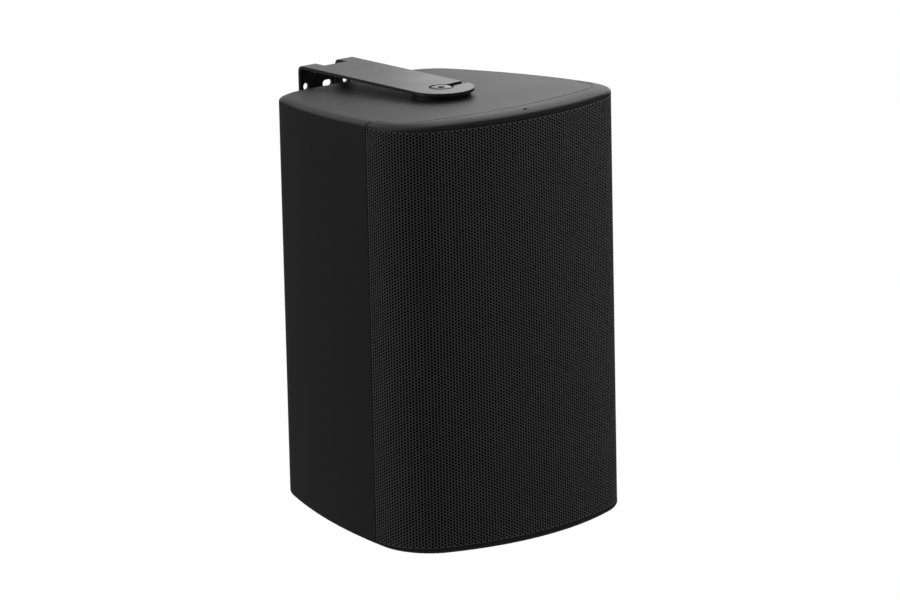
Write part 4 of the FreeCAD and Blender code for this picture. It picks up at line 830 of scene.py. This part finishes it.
# %% Finishes of the outside
OUTSIDE = {
    # Injection-moulded ABS from a spark-eroded tool: satin black, its grain drawn at 0.9 mm so that it shows
    "cabinet_plastic": ("moulded black ABS", "#151515", "#191919", 0.9, 0.006, 0.46, 0.03, 60.0),
    "frame_plastic": ("moulded black ABS rim", "#151515", "#191919", 0.9, 0.006, 0.46, 0.03, 60.0),
    # Powder coat on punched steel: a slightly softer black that lights up along the webs
    "grille_steel": ("powder-coated punched steel", "#4b4b4b", "#555555", 0.4, 0.004, 0.42, 0.04, 30.0),
    # Walls of the punched holes: the grille's thin matt coat, drawn nearly black as painted shade inside the
    # holes
    "painted_hole_shade": ("grille coat darkened as painted shade in the holes", "#070707", "#0b0b0b", 0.4, 0.003, 0.7, 0.05, 30.0),
    # Powder coat on folded steel: smoother and glossier, so the arm mirrors the bright backdrop
    "bracket_steel": ("powder-coated folded steel", "#1e1e1e", "#232323", 0.7, 0.003, 0.35, 0.03, 25.0,
                      0.0, 1.0),
    # Blackened steel of the bolts: a dark coat with a soft sheen
    "black_screw": ("blackened steel", "#161616", "#1c1c1c", 0.5, 0.003, 0.30, 0.05, 8.0),
    # Turned nylon of the spacers: dull black
    "spacer_nylon": ("turned black nylon", "#121212", "#161616", 0.5, 0.004, 0.55, 0.04, 10.0),
}
FINISHES = {slot: grained(*values) for slot, values in OUTSIDE.items()}
# Woven polyester: matt black cloth, drawn nearly black as painted shade behind the grille, with threads drawn
# 0.5 mm apart
FINISHES["acoustic_cloth"] = woven("woven black polyester with painted shade", "#020202", "#060606", 0.5, 0.08, 0.95, 0.2)
print("finishes of the outside:", len(FINISHES))

# %% [markdown]
# Inside the cabinet are drivers, crossover and wadding. They show only when the model is opened, but each has
# the finish of its real material.

# %% Finishes of the inside
INSIDE = {
    "zinc_screw": ("zinc-plated steel", "#a9abad", "#c1c3c4", 0.5, 0.003, 0.35, 0.05, 6.0, 1.0),
    "insert_brass": ("turned brass", "#a98a4a", "#c2a35e", 0.5, 0.004, 0.35, 0.05, 8.0, 1.0),
    "rubber": ("moulded butyl rubber", "#101010", "#171717", 0.8, 0.008, 0.7, 0.05, 15.0),
    "basket_steel": ("coated pressed steel", "#1a1a1b", "#222223", 0.8, 0.008, 0.45, 0.05, 20.0),
    "ferrite": ("sintered ferrite", "#2b2b2d", "#37373a", 0.7, 0.015, 0.65, 0.06, 12.0),
    "plated_steel": ("zinc-plated pressed steel", "#9c9ea1", "#b4b6b8", 0.6, 0.004, 0.35, 0.06, 18.0, 1.0),
    "cone_plastic": ("moulded polypropylene", "#191919", "#202020", 1.2, 0.01, 0.5, 0.05, 22.0),
    "coil_copper": ("enamelled copper wire", "#9a5a2e", "#b8713c", 0.6, 0.02, 0.3, 0.05, 8.0, 1.0),
    "spider_cloth": ("resin-dipped cotton", "#b08d54", "#c4a068", 0.7, 0.03, 0.85, 0.05, 10.0),
    "dome_silk": ("coated woven silk", "#1b1a19", "#262423", 0.4, 0.012, 0.6, 0.06, 6.0),
    "tweeter_plastic": ("moulded black ABS plate", "#161616", "#1c1c1c", 0.9, 0.006, 0.45, 0.04, 30.0),
    "circuit_board": ("phenolic board", "#6f4a22", "#82592b", 1.5, 0.004, 0.5, 0.05, 14.0),
    "film_capacitor": ("wrapped polyester film", "#b9a12a", "#cdb640", 1.0, 0.006, 0.35, 0.05, 12.0),
    "cement_resistor": ("cast ceramic", "#d8d5cb", "#e6e3da", 0.8, 0.02, 0.8, 0.05, 8.0),
    "terminal_plastic": ("moulded black ABS cup", "#171717", "#1d1d1d", 0.9, 0.006, 0.42, 0.04, 25.0),
    "wadding": ("polyester wadding", "#d9d9d6", "#efefec", 2.5, 0.8, 0.95, 0.03, 12.0),
}
for slot, values in INSIDE.items():
    FINISHES[slot] = grained(*values)
print("finishes:", len(FINISHES))

# %% Finishes on their pieces
# The walls of the grille's holes and the cloth carry painted shade: their finishes are drawn darker than
# their real coat and cloth
DRAWN = ((cabinet, "cabinet_plastic"), (front, "frame_plastic"), (grille, "grille_steel"),
         (hole_walls, "painted_hole_shade"), (cloth, "acoustic_cloth"), (bracket, "bracket_steel"),
         (bolts, "black_screw"), (spacers, "spacer_nylon"))
for entry in frame["record"]["subparts"]:
    solid = frame["nodes"][entry["node"]]
    solid.data.materials.clear()
    solid.data.materials.append(FINISHES[entry["material_slot"]])
for piece, slot in DRAWN:
    piece.data.materials.append(FINISHES[slot])
print("drawn pieces:", len(DRAWN))

# %% [markdown]
# The picture shows the speaker on plain white, lit by a broad soft light from behind on the right: its top
# and the arm mirror that light, and its front stays dark. The pale floor lies far below, so that no shadow
# shows, and the camera sees it as pure white.

# %% Floor
WHITE = (1.0, 1.0, 1.0, 1.0)
FLOOR_Z, FLOOR_HALF = -1.2, 9.0
floor = bpy.data.objects.new("floor", bpy.data.meshes.new("floor"))
floor_corners = [(x * FLOOR_HALF, y * FLOOR_HALF, FLOOR_Z) for x, y in ((-1, -1), (1, -1), (1, 1), (-1, 1))]
floor.data.from_pydata(floor_corners, [], [(0, 1, 2, 3)])
bpy.context.scene.collection.objects.link(floor)
paper = bpy.data.materials.new("pale paper floor")
paper.use_nodes = True
tree = paper.node_tree
tree.nodes.clear()
rays = add_node(tree, "ShaderNodeLightPath")
matt = add_node(tree, "ShaderNodeBsdfDiffuse", Color=linear("#c8c8c8"))
glow = add_node(tree, "ShaderNodeEmission", Color=WHITE, Strength=1.0)
shown = add_node(tree, "ShaderNodeMixShader", Fac=rays.outputs["Is Camera Ray"], i1=matt.outputs["BSDF"],
                 i2=glow.outputs["Emission"])
add_node(tree, "ShaderNodeOutputMaterial", Surface=shown.outputs["Shader"])
floor.data.materials.append(paper)
print("floor at %.1f m" % FLOOR_Z)

# %% [markdown]
# Five soft panels light the speaker. Three stand behind and above, for the top and the arm. A large one far
# to the left gives the left wall its tone, and one in front on the right lights the webs of the grille.

# %% Soft panels
# Name, place and aim in metres, width, height and power
PANELS = [
    ("panel behind on the right", (0.80, 0.35, 0.42), (0.16, -0.42, 0.42), 0.65, 0.42, 1.0),
    ("panel behind and above", (0.14, 0.86, 0.85), (-0.1, -0.15, 0.17), 0.7, 0.4, 0.65),
    ("panel overhead", (-0.7, 0.2, 1.7), (-0.1, -0.2, 0.0), 1.6, 1.4, 4.5),
    ("panel on the left", (-2.7, 1.3, 1.2), (-0.1, -0.15, 0.0), 1.4, 1.8, 14.0),
    ("panel in front on the right", (0.80, -0.80, 0.88), (0.0, -0.25, 0.1), 0.85, 0.7, 7.8),
]


def soft_panel(name, place, aim, wide, tall, strength):
    """A rectangular lamp that looks from a place towards a point, in metres."""
    lamp = bpy.data.lights.new(name, "AREA")
    lamp.shape = "RECTANGLE"
    lamp.size, lamp.size_y = wide, tall
    lamp.energy = strength
    away = np.asarray(place, float) - np.asarray(aim, float)
    away /= np.linalg.norm(away)
    sideways = np.cross([0, 0, 1], away)
    sideways /= np.linalg.norm(sideways)
    turn = np.eye(4)
    turn[:3, :3] = np.stack([sideways, np.cross(away, sideways), away], axis=1)
    turn[:3, 3] = place
    item = bpy.data.objects.new(name, lamp)
    item.matrix_world = Matrix(turn.tolist())
    item.visible_camera = False
    bpy.context.scene.collection.objects.link(item)
    return item


panels = [soft_panel(*values) for values in PANELS]
# The front panel isn't mirrored, so the coat of the grille shows no glare
panels[-1].visible_glossy = False
print("panels:", len(panels))

# %% [markdown]
# The world is dim for the light that it gives and pure white for the camera. Mirrored rays see the white only
# in the part behind the speaker, like a real backdrop, and the walls at the sides stay dark.

# %% World
FILL = 0.165
# Part of a ray that points level behind the speaker: at the backdrop's soft edge, and where it is full
BACKDROP_EDGE, BACKDROP_FULL = 0.885, 0.96
world = bpy.data.worlds.new("white studio")
bpy.context.scene.world = world
world.use_nodes = True
tree = world.node_tree
tree.nodes.clear()
rays = add_node(tree, "ShaderNodeLightPath")
dim = add_node(tree, "ShaderNodeBackground", Color=WHITE, Strength=FILL)
white = add_node(tree, "ShaderNodeBackground", Color=WHITE, Strength=1.0)
direction = add_node(tree, "ShaderNodeTexCoord").outputs["Generated"]
behind_speaker = add_node(tree, "ShaderNodeVectorMath", {"operation": "DOT_PRODUCT"}, i0=direction,
                          i1=(-back[0], -back[1], 0.0))
backdrop = add_node(tree, "ShaderNodeMapRange", {"interpolation_type": "SMOOTHSTEP"},
                    Value=behind_speaker.outputs["Value"], From_Min=BACKDROP_EDGE, From_Max=BACKDROP_FULL)
mirrored = add_node(tree, "ShaderNodeMath", {"operation": "MULTIPLY"}, i0=rays.outputs["Is Glossy Ray"],
                    i1=backdrop.outputs["Result"])
open_view = add_node(tree, "ShaderNodeMath", {"operation": "MAXIMUM"}, i0=rays.outputs["Is Camera Ray"],
                     i1=rays.outputs["Is Transmission Ray"])
shows_white = add_node(tree, "ShaderNodeMath", {"operation": "MAXIMUM"}, i0=open_view.outputs["Value"],
                       i1=mirrored.outputs["Value"])
seen = add_node(tree, "ShaderNodeMixShader", Fac=shows_white.outputs["Value"], i1=dim.outputs["Background"],
                i2=white.outputs["Background"])
add_node(tree, "ShaderNodeOutputWorld", Surface=seen.outputs["Shader"])
bpy.context.scene.view_settings.view_transform = "Standard"
print("world:", world.name)
